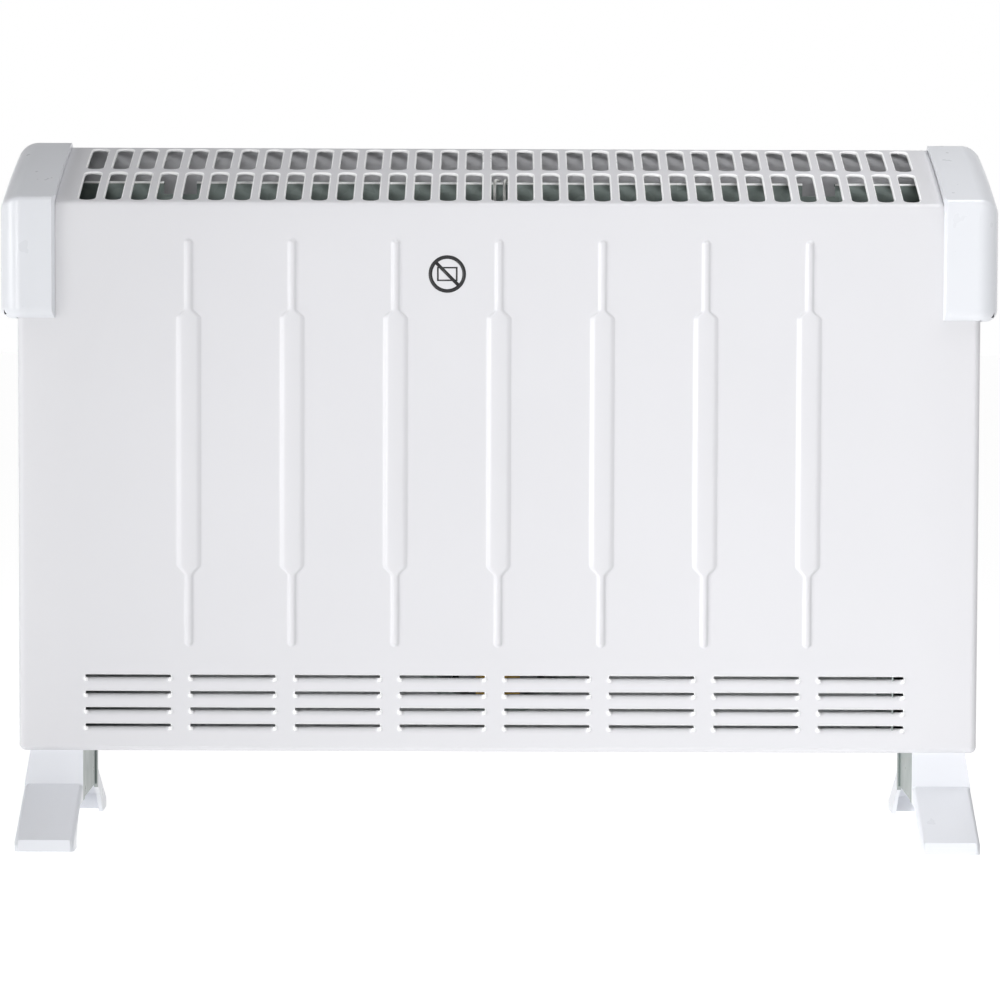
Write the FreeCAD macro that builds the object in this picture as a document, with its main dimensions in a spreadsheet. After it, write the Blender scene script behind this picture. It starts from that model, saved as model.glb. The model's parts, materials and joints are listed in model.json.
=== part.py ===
"""A free-standing fan convector heater: a folded steel case on two moulded feet, with moulded end caps,
a control panel in its right-hand side, an open-wire heating element behind a shield, and a fan at the back.

Frame: +Z up, the front faces -Y, origin on the floor under the middle of the heater. Millimetres.
"""

import FreeCAD, Part
import math
import os
import re

import Sketcher
from FreeCAD import Placement, Rotation, Vector

PARTS = "parts"
DIMENSIONS = """
sheet_gauge 0.8            thickness of the steel sheet
case_width 579             outside width of the steel case
case_front 50              from the middle plane to the front face
case_back 49.2             from the middle plane to the back edge of the folded case
case_bottom 54             height of the underside above the floor
crease_height 384.8          height of the fold between front and top
top_back_height 420        height of the top sheet at its back edge
top_arc_radius 800         the top sheet is slightly domed from front to back
fold_radius 4              outside radius of the case folds
rim_width 42               underside rim that carries each foot
rim_depth 15               underside rim along the front
slot_pitch 15.5            from one top slot to the next
slot_count 33              slots in each of the two rows
slot_width 9.8
slot_end_radius 5          radius of the rounded slot ends
slot_end_rise 4.005        how far a slot's end bulges past its corners
front_slot_start -45.4     front row, from its front end
front_slot_end -1.2
back_slot_start 5          back row, from its front end
back_slot_end 46.2
rib_count 7
rib_pitch 62.15
rib_height 1.2             how far a pressed rib stands out
rib_thin 2.3               half the width of a rib's thin ends
rib_wide 6.9               half the width of its wide middle
rib_top 363
rib_upper_step 321.4
rib_upper_full 315.8
rib_lower_full 167.2
rib_lower_step 160.5
rib_bottom 118.1
louvre_count 8             columns of intake louvres
louvre_pitch 63.2
louvre_length 51.5
louvre_shift -2            the louvres sit this far off the middle
louvre_drop 6.4            height of a louvre
louvre_reach 2.8           how far it is pressed in at the top
louvre_gap 1.5             the slit above its flap
louvre_top 100.9           upper edge of the top row
louvre_step 9.93           from one row to the next
cap_inner 266.5            inner edge of an end cap
cap_outer 300              outer side of an end cap
cap_depth 54.5             from the middle plane to a cap's front and back
cap_bottom 315
cap_front_height 387.5
cap_back_height 425
cap_radius 7             rounding of a cap's outer edges
cap_top_radius 13          rounding of its top outer edge
cap_wall 2.5
cap_clearance 0.3          between a cap and the case
cap_lead 1.8               draft of a cap's inner edge at the front
grip_length 84             finger recess in a cap
grip_bottom 343
grip_height 26
grip_depth 14
grip_wall 2
foot_inner 251
foot_outer 286.5
foot_block_outer 282.8     outer side of a foot at its very top
foot_reach 100             from the middle plane to a toe
foot_top_reach 46          half the depth of a foot's upper block
foot_shoulder 33.5         height where a foot's slope begins
toe_height 7
toe_length 12              solid length of each toe
foot_wall 2.5
foot_arch_reach 85         half the span of the arch in a foot's outer wall
foot_arch_radius 240
foot_gap_height 23         height of the opening in its inner wall
foot_screw_reach 28
foot_screw_x 268
bottom_plate_reach 280
bottom_slot_pitch 20
bottom_slot_count 23
panel_half_depth 31        cut-out for the control panel
panel_bottom 127
panel_top 273
panel_lip 4                flange of the control panel round its walls
panel_flange 1.6
panel_floor 268            outer face of the recessed floor
panel_wall 2
dial_height 240            height of the thermostat dial
dial_radius 19.5
dial_grip_radius 15
spindle_radius 3
switch_height 168          height of the rocker switches
switch_pitch 19
switch_half_width 6.5      half the width of a switch body
switch_half_length 9.6
switch_back 250
switch_front 269.2
switch_pivot 266
lamp_height 205
lamp_radius 4
shield_y -3                front face of the heat shield
shield_bottom 190
shield_top 398.5
shield_lip 3.2             height and depth of the sloping top edge
shield_half_width 262
shield_notch_x 195
shield_notch 20
shield_cut_x 241           the shield stops here beside the controls
shield_cut_height 262
partition_x 238
partition_top 300
element_bracket_x 215
element_bottom 212
element_top 294
coil_reach 195             half the straight length of a heating coil
coil_radius 3
coil_spacing 16            between the runs of a coil
coil_first_run 229
coil_low_y 14
coil_high_y 32
card_count 7
card_pitch 60
card_gauge 1.2
rod_radius 1.5
rod_low 218
rod_high 288
rod_y 23
fan_height 128
blade_reach 48.5
blade_count 6
hub_radius 13
hub_front 27
hub_back 43
shroud_radius 52
shaft_radius 2
gland_x 262
gland_height 84
gland_bore 3.6
screw_shank 1.7
screw_hole 1.9
screw_head 3.6
screw_head_height 2.2
back_screw_x 283
cap_screw_x 278
"""

doc = FreeCAD.newDocument("fan_convector_heater")
dims = doc.addObject("Spreadsheet::Sheet", "dims")
ALIASES = []


def fill_sheet():
    for row, line in enumerate(DIMENSIONS.strip().splitlines(), start=1):
        alias, number, *note = line.split(None, 2)
        dims.set(f"A{row}", " ".join([alias.replace("_", " "), *note]))
        dims.set(f"B{row}", number)
        dims.setAlias(f"B{row}", alias)
        ALIASES.append(alias)
    doc.recompute()


fill_sheet()
ALIAS_WORDS = re.compile(r"\b(" + "|".join(sorted(ALIASES, key=len, reverse=True)) + r")\b")


def bound(formula):
    """The formula as an expression that reads the sheet."""
    return ALIAS_WORDS.sub(r"dims.\1", str(formula))


def size(formula):
    """The formula's value in millimetres."""
    return float(dims.evalExpression(bound(formula)))


# ---- PartDesign helpers -------------------------------------------------------------------------------


def new_body(label):
    body = doc.addObject("PartDesign::Body", label)
    body.Label = label
    return body


def sketch_on(body, role, offset=0):
    """A sketch on one of the body's origin planes, moved along the plane's normal."""
    plane = next(f for f in body.Origin.OriginFeatures if f.Role == role)
    sketch = body.newObject("Sketcher::SketchObject", "sketch")
    sketch.AttachmentSupport = [(plane, "")]
    sketch.MapMode = "FlatFace"
    sketch.setExpression("AttachmentOffset.Base.z", bound(offset))
    return sketch


def bind(sketch, kind, geometry, vertex, formula):
    """A dimension from the sketch's origin to a vertex, read from the sheet."""
    index = sketch.addConstraint(Sketcher.Constraint(kind, -1, 1, geometry, vertex, size(formula)))
    sketch.setExpression(f"Constraints[{index}]", bound(formula))


def arc_between(start, end, radius):
    """The short counter-clockwise arc from start to end."""
    chord = end - start
    half = chord.Length / 2
    rise = math.sqrt(radius**2 - half**2)
    centre = (start + end) * 0.5 + Vector(-chord.y, chord.x, 0).normalize() * rise
    angles = [math.atan2(point.y - centre.y, point.x - centre.x) for point in (start, end)]
    return Part.ArcOfCircle(Part.Circle(centre, Vector(0, 0, 1), radius), *angles)


def outline(sketch, points, arcs=None):
    """A closed outline, counter-clockwise, through points given as pairs of formulas.
    arcs maps the number of a side to the radius with which it bulges outwards."""
    arcs = arcs or {}
    first = sketch.GeometryCount
    corners = [Vector(size(x), size(y), 0) for x, y in points]
    count = len(points)
    for side in range(count):
        start, end = corners[side], corners[(side + 1) % count]
        if side in arcs:
            sketch.addGeometry(arc_between(start, end, size(arcs[side])))
        else:
            sketch.addGeometry(Part.LineSegment(start, end))
    for side, (x, y) in enumerate(points):
        following = first + (side + 1) % count
        sketch.addConstraint(Sketcher.Constraint("Coincident", first + side, 2, following, 1))
        bind(sketch, "DistanceX", first + side, 1, x)
        bind(sketch, "DistanceY", first + side, 1, y)
    for side, radius in arcs.items():
        index = sketch.addConstraint(Sketcher.Constraint("Radius", first + side, size(radius)))
        sketch.setExpression(f"Constraints[{index}]", bound(radius))


def rectangle(sketch, x0, y0, x1, y1):
    outline(sketch, [(x0, y0), (x1, y0), (x1, y1), (x0, y1)])


def circle(sketch, x, y, radius):
    number = sketch.addGeometry(Part.Circle(Vector(size(x), size(y), 0), Vector(0, 0, 1), size(radius)))
    bind(sketch, "DistanceX", number, 3, x)
    bind(sketch, "DistanceY", number, 3, y)
    index = sketch.addConstraint(Sketcher.Constraint("Radius", number, size(radius)))
    sketch.setExpression(f"Constraints[{index}]", bound(radius))


def feature(body, kind, sketch, length, reversed_=False, midplane=False):
    made = body.newObject("PartDesign::" + kind, kind.lower())
    made.Profile = sketch
    made.Length = size(length)
    made.setExpression("Length", bound(length))
    made.Reversed = reversed_
    made.Midplane = midplane
    doc.recompute()
    return made


def pad(body, sketch, length, **side):
    return feature(body, "Pad", sketch, length, **side)


def pocket(body, sketch, length, **side):
    before = body.Shape.Volume
    made = feature(body, "Pocket", sketch, length, **side)
    if made.Shape.Volume > before - 1e-3:
        raise RuntimeError(f"a pocket of {body.Label} cuts nothing")
    return made


def repeat(body, originals, role, length, count):
    """A linear pattern of features along one of the body's origin axes."""
    pattern = body.newObject("PartDesign::LinearPattern", "pattern")
    axis = next(f for f in body.Origin.OriginFeatures if f.Role == role)
    pattern.Originals = originals
    pattern.Direction = (axis, [""])
    pattern.Length = size(length)
    pattern.setExpression("Length", bound(length))
    pattern.Occurrences = int(round(size(count)))
    body.Tip = pattern
    doc.recompute()
    return pattern


def turn_round(body, originals, role, count):
    """A full polar pattern about one of the body's origin axes."""
    pattern = body.newObject("PartDesign::PolarPattern", "pattern")
    axis = next(f for f in body.Origin.OriginFeatures if f.Role == role)
    pattern.Originals = originals
    pattern.Axis = (axis, [""])
    pattern.Angle = 360
    pattern.Occurrences = int(round(size(count)))
    body.Tip = pattern
    doc.recompute()
    return pattern


def edges_where(shape, test):
    return [f"Edge{n}" for n, edge in enumerate(shape.Edges, start=1) if test(edge.BoundBox)]


def dress(body, kind, test, amount):
    """A fillet or chamfer on the edges whose bounding box passes the test."""
    base = body.Tip
    made = body.newObject("PartDesign::" + kind, kind.lower())
    made.Base = (base, edges_where(base.Shape, test))
    prop = "Radius" if kind == "Fillet" else "Size"
    setattr(made, prop, size(amount))
    made.setExpression(prop, bound(amount))
    doc.recompute()
    return made


def mirrored(label, source):
    """The same piece for the other side of the heater."""
    copy = doc.addObject("Part::Mirroring", label)
    copy.Label = label
    copy.Source = source
    copy.Normal = Vector(1, 0, 0)
    return copy


# ---- Part helpers -------------------------------------------------------------------------------------


def box(label, x0, y0, z0, x1, y1, z1):
    """A block between two corners, given as formulas."""
    made = doc.addObject("Part::Box", label)
    for prop, low, high in (("Length", x0, x1), ("Width", y0, y1), ("Height", z0, z1)):
        made.setExpression(prop, bound(f"({high}) - ({low})"))
    for prop, low in (("x", x0), ("y", y0), ("z", z0)):
        made.setExpression("Placement.Base." + prop, bound(low))
    return made


AXIS_TURN = {
    "x": Rotation(Vector(0, 1, 0), 90),
    "y": Rotation(Vector(1, 0, 0), -90),
    "z": Rotation(),
}


def cylinder(label, axis, x, y, z, radius, length):
    """A cylinder that starts at x, y, z and runs along the positive axis."""
    made = doc.addObject("Part::Cylinder", label)
    made.Placement = Placement(Vector(), AXIS_TURN[axis])
    made.setExpression("Radius", bound(radius))
    made.setExpression("Height", bound(length))
    for prop, formula in (("x", x), ("y", y), ("z", z)):
        made.setExpression("Placement.Base." + prop, bound(formula))
    return made


def fuse(label, shapes):
    made = doc.addObject("Part::MultiFuse", label)
    made.Label = label
    made.Shapes = shapes
    return made


def cut(label, base, tool):
    made = doc.addObject("Part::Cut", label)
    made.Label = label
    made.Base = base
    made.Tool = tool
    return made


def group(label, shapes):
    """Several separate solids in one node."""
    made = doc.addObject("Part::Compound", label)
    made.Label = label
    made.Links = shapes
    return made


def solid(label, shape):
    made = doc.addObject("Part::Feature", label)
    made.Label = label
    made.Shape = shape
    return made


def screws(label, places, direction, grip):
    """Pan-head screws: places are the points under their heads, direction points from the head to the tip."""
    head_radius, head_height, shank = size("screw_head"), size("screw_head_height"), size("screw_shank")
    inward = Vector(*direction)
    made = []
    for place in places:
        point = Vector(*place)
        head = Part.makeCylinder(head_radius, head_height, point, inward * -1)
        head = head.makeFillet(0.8, [head.Edges[edge] for edge in (0,)])
        recess = Part.makeCylinder(1.5, 1.2, point - inward * head_height, inward)
        made.append(head.fuse(Part.makeCylinder(shank, grip, point, inward)).cut(recess))
    return solid(label, Part.makeCompound(made))


def tube(label, points, radius, bend):
    """A round bar or wire along straight runs joined by tangent arcs."""
    path = [Vector(*point) for point in points]
    edges, start = [], path[0]
    for before, corner, after in zip(path, path[1:], path[2:]):
        to_back = (before - corner).normalize()
        to_front = (after - corner).normalize()
        half = to_back.getAngle(to_front) / 2
        trim = bend / math.tan(half)
        middle = corner + (to_back + to_front).normalize() * (bend / math.sin(half) - bend)
        arc_start, arc_end = corner + to_back * trim, corner + to_front * trim
        edges.append(Part.LineSegment(start, arc_start).toShape())
        edges.append(Part.Arc(arc_start, middle, arc_end).toShape())
        start = arc_end
    edges.append(Part.LineSegment(start, path[-1]).toShape())
    section = Part.Wire(Part.makeCircle(radius, path[0], path[1] - path[0]))
    return solid(label, Part.Wire(edges).makePipeShell([section], True, True))


# ---- the steel case -----------------------------------------------------------------------------------


def top_slots(body, start, end):
    """One row of air slots across the top."""
    sketch = sketch_on(body, "XY_Plane", "case_bottom + 300")
    first = "-(slot_count - 1) / 2 * slot_pitch"
    left, right = f"{first} - slot_width / 2", f"{first} + slot_width / 2"
    low, high = f"{start} + slot_end_rise", f"{end} - slot_end_rise"
    corners = [(left, low), (right, low), (right, high), (left, high)]
    outline(sketch, corners, {0: "slot_end_radius", 2: "slot_end_radius"})
    row = pocket(body, sketch, 100, reversed_=True)
    repeat(body, [row], "X_Axis", "(slot_count - 1) * slot_pitch", "slot_count")


def ribs(body):
    """Pressed ribs, thin at both ends and wide in the middle."""
    sketch = sketch_on(body, "XZ_Plane", "case_front - 0.2")
    middle = "-(rib_count - 1) / 2 * rib_pitch"
    steps = [
        ("rib_thin", "rib_bottom"),
        ("rib_thin", "rib_lower_step"),
        ("rib_wide", "rib_lower_full"),
        ("rib_wide", "rib_upper_full"),
        ("rib_thin", "rib_upper_step"),
        ("rib_thin", "rib_top"),
    ]
    right = [(f"{middle} + {half}", height) for half, height in steps]
    left = [(f"{middle} - {half}", height) for half, height in reversed(steps)]
    outline(sketch, right + left)
    rib = pad(body, sketch, "rib_height + 0.2")
    repeat(body, [rib], "X_Axis", "(rib_count - 1) * rib_pitch", "rib_count")


def louvres(body):
    """Intake louvres: strips of the front pressed inwards, each with a slit above it, four rows in every column."""
    first = "louvre_shift - (louvre_count - 1) / 2 * louvre_pitch"
    flaps = sketch_on(body, "YZ_Plane", first)
    mouths = sketch_on(body, "YZ_Plane", first)
    for row in range(4):
        top = f"louvre_top - {row} * louvre_step"
        low = f"{top} - louvre_drop"
        flap = [
            ("-case_front", low),
            ("-case_front + louvre_reach + sheet_gauge", f"{top} - louvre_gap"),
            ("-case_front + louvre_reach", f"{top} - louvre_gap"),
            ("-case_front", f"{low} + 1.2"),
        ]
        mouth = [
            ("-case_front - 1", low),
            ("-case_front", low),
            ("-case_front + louvre_reach", f"{top} - louvre_gap"),
            ("-case_front + louvre_reach", top),
            ("-case_front - 1", top),
        ]
        outline(flaps, flap)
        outline(mouths, mouth)
    pressed = pad(body, flaps, "louvre_length", midplane=True)
    through = pocket(body, mouths, "louvre_length", midplane=True)
    repeat(body, [pressed, through], "X_Axis", "(louvre_count - 1) * louvre_pitch", "louvre_count")


def front_panel():
    """Front, top, sides and underside rim: one folded sheet, open at the back."""
    body = new_body("front_panel")
    sketch = sketch_on(body, "YZ_Plane")
    side = [
        ("-case_front", "case_bottom"),
        ("case_back", "case_bottom"),
        ("case_back", "top_back_height"),
        ("-case_front", "crease_height"),
    ]
    outline(sketch, side, {2: "top_arc_radius"})
    pad(body, sketch, "case_width", midplane=True)
    front = -size("case_front")
    half_width = size("case_width / 2")
    dress(body, "Fillet", lambda b: b.YMax < front + 1e-3, "fold_radius")
    back = size("case_back")
    base = body.Tip
    faces = [f"Face{n}" for n, f in enumerate(base.Shape.Faces, start=1) if f.BoundBox.YMin > back - 1e-3]
    shell = body.newObject("PartDesign::Thickness", "shell")
    shell.Base = (base, faces)
    shell.Value = size("sheet_gauge")
    shell.setExpression("Value", bound("sheet_gauge"))
    shell.Reversed = True
    doc.recompute()
    ribs(body)
    louvres(body)
    top_slots(body, "front_slot_start", "front_slot_end")
    top_slots(body, "back_slot_start", "back_slot_end")
    underside = sketch_on(body, "XY_Plane", "case_bottom - 1")
    edge = "case_width / 2 - rim_width"
    rectangle(underside, f"-({edge})", "-case_front + rim_depth", edge, "case_back + 5")
    pocket(body, underside, 3, reversed_=True)
    window = sketch_on(body, "YZ_Plane", "case_width / 2 - 3")
    rectangle(window, "-panel_half_depth", "panel_bottom", "panel_half_depth", "panel_top")
    pocket(body, window, 6, reversed_=True)
    grips = sketch_on(body, "YZ_Plane")
    reach = "grip_length / 2 + grip_wall + 1"
    low, high = "grip_bottom - grip_wall - 1", "grip_bottom + grip_height + grip_wall + 1"
    rectangle(grips, f"-({reach})", low, reach, high)
    pocket(body, grips, "case_width + 10", midplane=True)
    holes = sketch_on(body, "XY_Plane", "case_bottom - 1")
    for side_sign in ("", "-"):
        for depth_sign in ("", "-"):
            circle(holes, f"{side_sign}foot_screw_x", f"{depth_sign}foot_screw_reach", "screw_hole")
    pocket(body, holes, 3, reversed_=True)
    return body


def rear_panel():
    """The flat back sheet, with the fan's inlet grille and low air slots."""
    body = new_body("rear_panel")
    sketch = sketch_on(body, "XZ_Plane", "-case_back - sheet_gauge")
    edge = "case_width / 2"
    rectangle(sketch, f"-{edge}", "case_bottom", edge, "top_back_height")
    pad(body, sketch, "sheet_gauge")
    grille = sketch_on(body, "XZ_Plane", "-case_back - sheet_gauge - 1")
    for row in range(-4, 5):
        half = math.sqrt(44**2 - (row * 9.4) ** 2)
        middle = f"fan_height + {row * 9.4:.1f}"
        rectangle(grille, f"-{half:.1f}", f"{middle} - 2.6", f"{half:.1f}", f"{middle} + 2.6")
    pocket(body, grille, 3, reversed_=True)
    for first, columns in ((-208, 6), (88, 5)):
        vents = sketch_on(body, "XZ_Plane", "-case_back - sheet_gauge - 1")
        for row in range(4):
            height = 100 + row * 12
            rectangle(vents, f"{first} - 8.5", height - 2, f"{first} + 8.5", height + 2)
        column = pocket(body, vents, 3, reversed_=True)
        repeat(body, [column], "X_Axis", 24 * (columns - 1), columns)
    cuts = sketch_on(body, "XZ_Plane", "-case_back - sheet_gauge - 1")
    circle(cuts, "gland_x", "gland_height", 6)
    for sign in ("", "-"):
        for height in ("90", "300"):
            circle(cuts, f"{sign}back_screw_x", height, "screw_hole")
        for height in ("330", "408"):
            circle(cuts, f"{sign}cap_screw_x", height, "screw_hole")
    for angle in range(45, 360, 90):
        x = 58 * math.cos(math.radians(angle))
        z = 58 * math.sin(math.radians(angle))
        circle(cuts, f"{x:.3f}", f"fan_height + {z:.3f}", "screw_hole")
    pocket(body, cuts, 3, reversed_=True)
    return body


def rear_panel_tabs():
    """Four angle lugs inside the case that take the back panel's screws."""
    lugs = []
    for sign in (1, -1):
        for height in (90, 300):
            x_wall = sign * size("case_width / 2 - sheet_gauge")
            low, high = sorted((x_wall, x_wall - sign * 10))
            name = f"lug_{height}_{'r' if sign > 0 else 'l'}"
            ear = box(name + "_ear", low, "case_back - 1.5", height - 9, high, "case_back", height + 9)
            low, high = sorted((x_wall, x_wall - sign * 1.5))
            web = box(name + "_web", low, "case_back - 9", height - 9, high, "case_back", height + 9)
            x_screw = f"{sign} * back_screw_x"
            hole = cylinder(name + "_hole", "y", x_screw, "case_back - 3", height, "screw_hole", 5)
            lugs.append(cut(name, fuse(name + "_sheet", [ear, web]), hole))
    return group("rear_panel_tabs", lugs)


def bottom_plate():
    """Slotted plate that closes the underside, resting on the case's rim."""
    body = new_body("bottom_plate")
    sketch = sketch_on(body, "XY_Plane", "case_bottom + sheet_gauge")
    reach = "bottom_plate_reach"
    rectangle(sketch, f"-{reach}", "-case_front + fold_radius", reach, "case_back - 0.5")
    pad(body, sketch, "sheet_gauge")
    slots = sketch_on(body, "XY_Plane", "case_bottom")
    first = "-(bottom_slot_count - 1) / 2 * bottom_slot_pitch"
    for low, high in (("-30", "2"), ("10", "42")):
        half = "2.5"
        corners = [(f"{first} - {half}", low), (f"{first} + {half}", low)]
        corners += [(f"{first} + {half}", high), (f"{first} - {half}", high)]
        outline(slots, corners, {0: 2.6, 2: 2.6})
    row = pocket(body, slots, 3, reversed_=True)
    repeat(body, [row], "X_Axis", "(bottom_slot_count - 1) * bottom_slot_pitch", "bottom_slot_count")
    holes = sketch_on(body, "XY_Plane", "case_bottom")
    for side_sign in ("", "-"):
        for depth_sign in ("", "-"):
            circle(holes, f"{side_sign}foot_screw_x", f"{depth_sign}foot_screw_reach", "screw_hole")
    pocket(body, holes, 3, reversed_=True)
    return body


# ---- mouldings ----------------------------------------------------------------------------------------


def end_cap():
    """The right-hand end cap: a hollow moulding over the case's top corner, with a finger recess."""
    body = new_body("end_cap_right")
    sketch = sketch_on(body, "YZ_Plane", "cap_inner")
    side = [
        ("-cap_depth", "cap_bottom"),
        ("cap_depth", "cap_bottom"),
        ("cap_depth", "cap_back_height"),
        ("-cap_depth", "cap_front_height"),
    ]
    outline(sketch, side, {2: "top_arc_radius"})
    pad(body, sketch, "cap_outer - cap_inner")
    outer = size("cap_outer")
    front = -size("cap_depth")
    high = size("cap_front_height") - 1
    dress(body, "Fillet", lambda b: b.YMax < front + 1e-3 and b.ZMin > high, 3)
    dress(body, "Fillet", lambda b: b.XMin > outer - 1e-3 and b.ZMin > high - 10 and b.YLength > 20, "cap_top_radius")
    dress(body, "Fillet", lambda b: b.XMin > outer - 1e-3, "cap_radius")
    slope = sketch_on(body, "XY_Plane", "cap_bottom - 1")
    outline(slope, [
        ("cap_inner - 2", "-cap_depth - 1"),
        ("cap_inner + cap_lead * 1.2", "-cap_depth - 1"),
        ("cap_inner", "-case_front"),
        ("cap_inner - 2", "-case_front"),
    ])
    pocket(body, slope, 120, reversed_=True)
    fitted = sketch_on(body, "YZ_Plane", "cap_inner - 1")
    gap = "cap_clearance"
    seat = [
        (f"-case_front - {gap}", "cap_bottom - 1"),
        (f"case_back + sheet_gauge + {gap}", "cap_bottom - 1"),
        (f"case_back + sheet_gauge + {gap}", f"top_back_height + {gap} + 0.4"),
        (f"-case_front - {gap}", f"crease_height + {gap}"),
    ]
    outline(fitted, seat, {2: "top_arc_radius"})
    pocket(body, fitted, f"case_width / 2 + {gap} - cap_inner + 1", reversed_=True)
    hollow = sketch_on(body, "YZ_Plane", "case_width / 2")
    inside = [
        ("-cap_depth + cap_wall + 3", "cap_bottom + cap_wall"),
        ("cap_depth - cap_wall - 3", "cap_bottom + cap_wall"),
        ("cap_depth - cap_wall - 3", "cap_back_height - cap_wall - 4"),
        ("-cap_depth + cap_wall + 3", "cap_front_height - cap_wall - 3.2"),
    ]
    outline(hollow, inside, {2: "top_arc_radius"})
    pocket(body, hollow, "cap_outer - cap_wall - case_width / 2", reversed_=True)
    bowl = sketch_on(body, "YZ_Plane", "cap_outer - grip_depth - grip_wall")
    reach = "grip_length / 2 + grip_wall"
    low, high_edge = "grip_bottom - grip_wall", "grip_bottom + grip_height + grip_wall"
    rectangle(bowl, f"-({reach})", low, reach, high_edge)
    pad(body, bowl, "grip_depth + grip_wall - 0.5")
    recess = sketch_on(body, "YZ_Plane", "cap_outer - grip_depth")
    rectangle(recess, "-grip_length / 2", "grip_bottom", "grip_length / 2", "grip_bottom + grip_height")
    pocket(body, recess, "grip_depth + 1", reversed_=True)
    holes = sketch_on(body, "XZ_Plane", "-cap_depth - 1")
    for height in ("330", "408"):
        circle(holes, "cap_screw_x", height, "screw_hole")
    pocket(body, holes, 8, reversed_=True)
    return body


def foot():
    """The right-hand foot: a hollow sledge with solid toes, open underneath."""
    body = new_body("foot_right")
    sketch = sketch_on(body, "YZ_Plane", "foot_inner")
    side = [
        ("-foot_reach", 0),
        ("foot_reach", 0),
        ("foot_reach", "toe_height"),
        ("foot_top_reach", "foot_shoulder"),
        ("foot_top_reach", "case_bottom"),
        ("-foot_top_reach", "case_bottom"),
        ("-foot_top_reach", "foot_shoulder"),
        ("-foot_reach", "toe_height"),
    ]
    outline(sketch, side)
    pad(body, sketch, "foot_outer - foot_inner")
    deck = size("case_bottom")
    dress(body, "Fillet", lambda b: b.XLength < 1e-3 and 1 < b.ZMax < deck - 1e-3 and b.ZMax > 6.9, 2.5)
    hollow = sketch_on(body, "YZ_Plane", "foot_inner + foot_wall")
    inside = [
        ("-foot_reach + toe_length", -1),
        ("foot_reach - toe_length", -1),
        ("foot_reach - toe_length", "toe_height + 2.5"),
        ("foot_top_reach - foot_wall", "foot_shoulder - 2"),
        ("foot_top_reach - foot_wall", "case_bottom - foot_wall"),
        ("-foot_top_reach + foot_wall", "case_bottom - foot_wall"),
        ("-foot_top_reach + foot_wall", "foot_shoulder - 2"),
        ("-foot_reach + toe_length", "toe_height + 2.5"),
    ]
    outline(hollow, inside)
    pocket(body, hollow, "foot_block_outer - foot_inner - 2 * foot_wall", reversed_=True)
    arch = sketch_on(body, "YZ_Plane", "foot_block_outer - foot_wall - 1")
    reach = "foot_arch_reach"
    outline(arch, [(f"-{reach}", -5), (reach, -5), (reach, 0), (f"-{reach}", 0)], {2: "foot_arch_radius"})
    pocket(body, arch, "foot_outer - foot_block_outer + foot_wall + 2", reversed_=True)
    gap = sketch_on(body, "YZ_Plane", "foot_inner - 1")
    outline(gap, [
        (-84, -1), (74, -1), (74, 0), (66, 7), (57, 14), (46, "foot_gap_height - 4"), (36, "foot_gap_height"),
        (-62, "foot_gap_height"), (-72, "foot_gap_height - 5"), (-80, 12), (-84, 6),
    ])
    pocket(body, gap, "foot_wall + 2", reversed_=True)
    panel = sketch_on(body, "YZ_Plane", "foot_inner - 1")
    rectangle(panel, -36, "foot_gap_height - 1", 37, "case_bottom - foot_wall")
    pocket(body, panel, 2, reversed_=True)
    flare = sketch_on(body, "XZ_Plane", 0)
    top = "case_bottom + 1"
    outline(flare, [("foot_outer", "foot_shoulder"), ("foot_outer + 5", "foot_shoulder"), ("foot_outer + 5", top), ("foot_block_outer", top)])
    pocket(body, flare, "2 * foot_reach + 10", midplane=True)
    holes = sketch_on(body, "XY_Plane", "case_bottom + 1")
    for sign in ("", "-"):
        circle(holes, "foot_screw_x", f"{sign}foot_screw_reach", "screw_hole")
    pocket(body, holes, 6)
    return body


# ---- controls in the right-hand side ------------------------------------------------------------------


def control_panel():
    """The recessed tray that carries the thermostat dial, the three switches and the pilot lamp."""
    body = new_body("control_panel")
    wall_face = "case_width / 2 - sheet_gauge"
    flange = sketch_on(body, "YZ_Plane", f"{wall_face} - panel_flange")
    reach = "panel_half_depth + panel_wall"
    low, high = "panel_bottom - panel_wall", "panel_top + panel_wall"
    lip = "panel_lip"
    rectangle(flange, f"-({reach} + {lip})", f"{low} - {lip}", f"{reach} + {lip}", f"{high} + {lip}")
    pad(body, flange, "panel_flange")
    tray = sketch_on(body, "YZ_Plane", "panel_floor - panel_wall")
    rectangle(tray, f"-({reach})", low, reach, high)
    pad(body, tray, f"{wall_face} - panel_floor + panel_wall")
    inside = sketch_on(body, "YZ_Plane", "panel_floor")
    rectangle(inside, "-panel_half_depth", "panel_bottom", "panel_half_depth", "panel_top")
    pocket(body, inside, 40, reversed_=True)
    holes = sketch_on(body, "YZ_Plane", "panel_floor - panel_wall - 1")
    circle(holes, 0, "dial_height", "spindle_radius + 1")
    circle(holes, 0, "lamp_height", "lamp_radius - 0.5")
    for place in (-1, 0, 1):
        middle = f"{place} * switch_pitch"
        half, length = "(switch_half_width + 0.1)", "(switch_half_length + 0.1)"
        rectangle(holes, f"{middle} - {half}", f"switch_height - {length}", f"{middle} + {half}", f"switch_height + {length}")
    pocket(body, holes, 6, reversed_=True)
    return body


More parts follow.
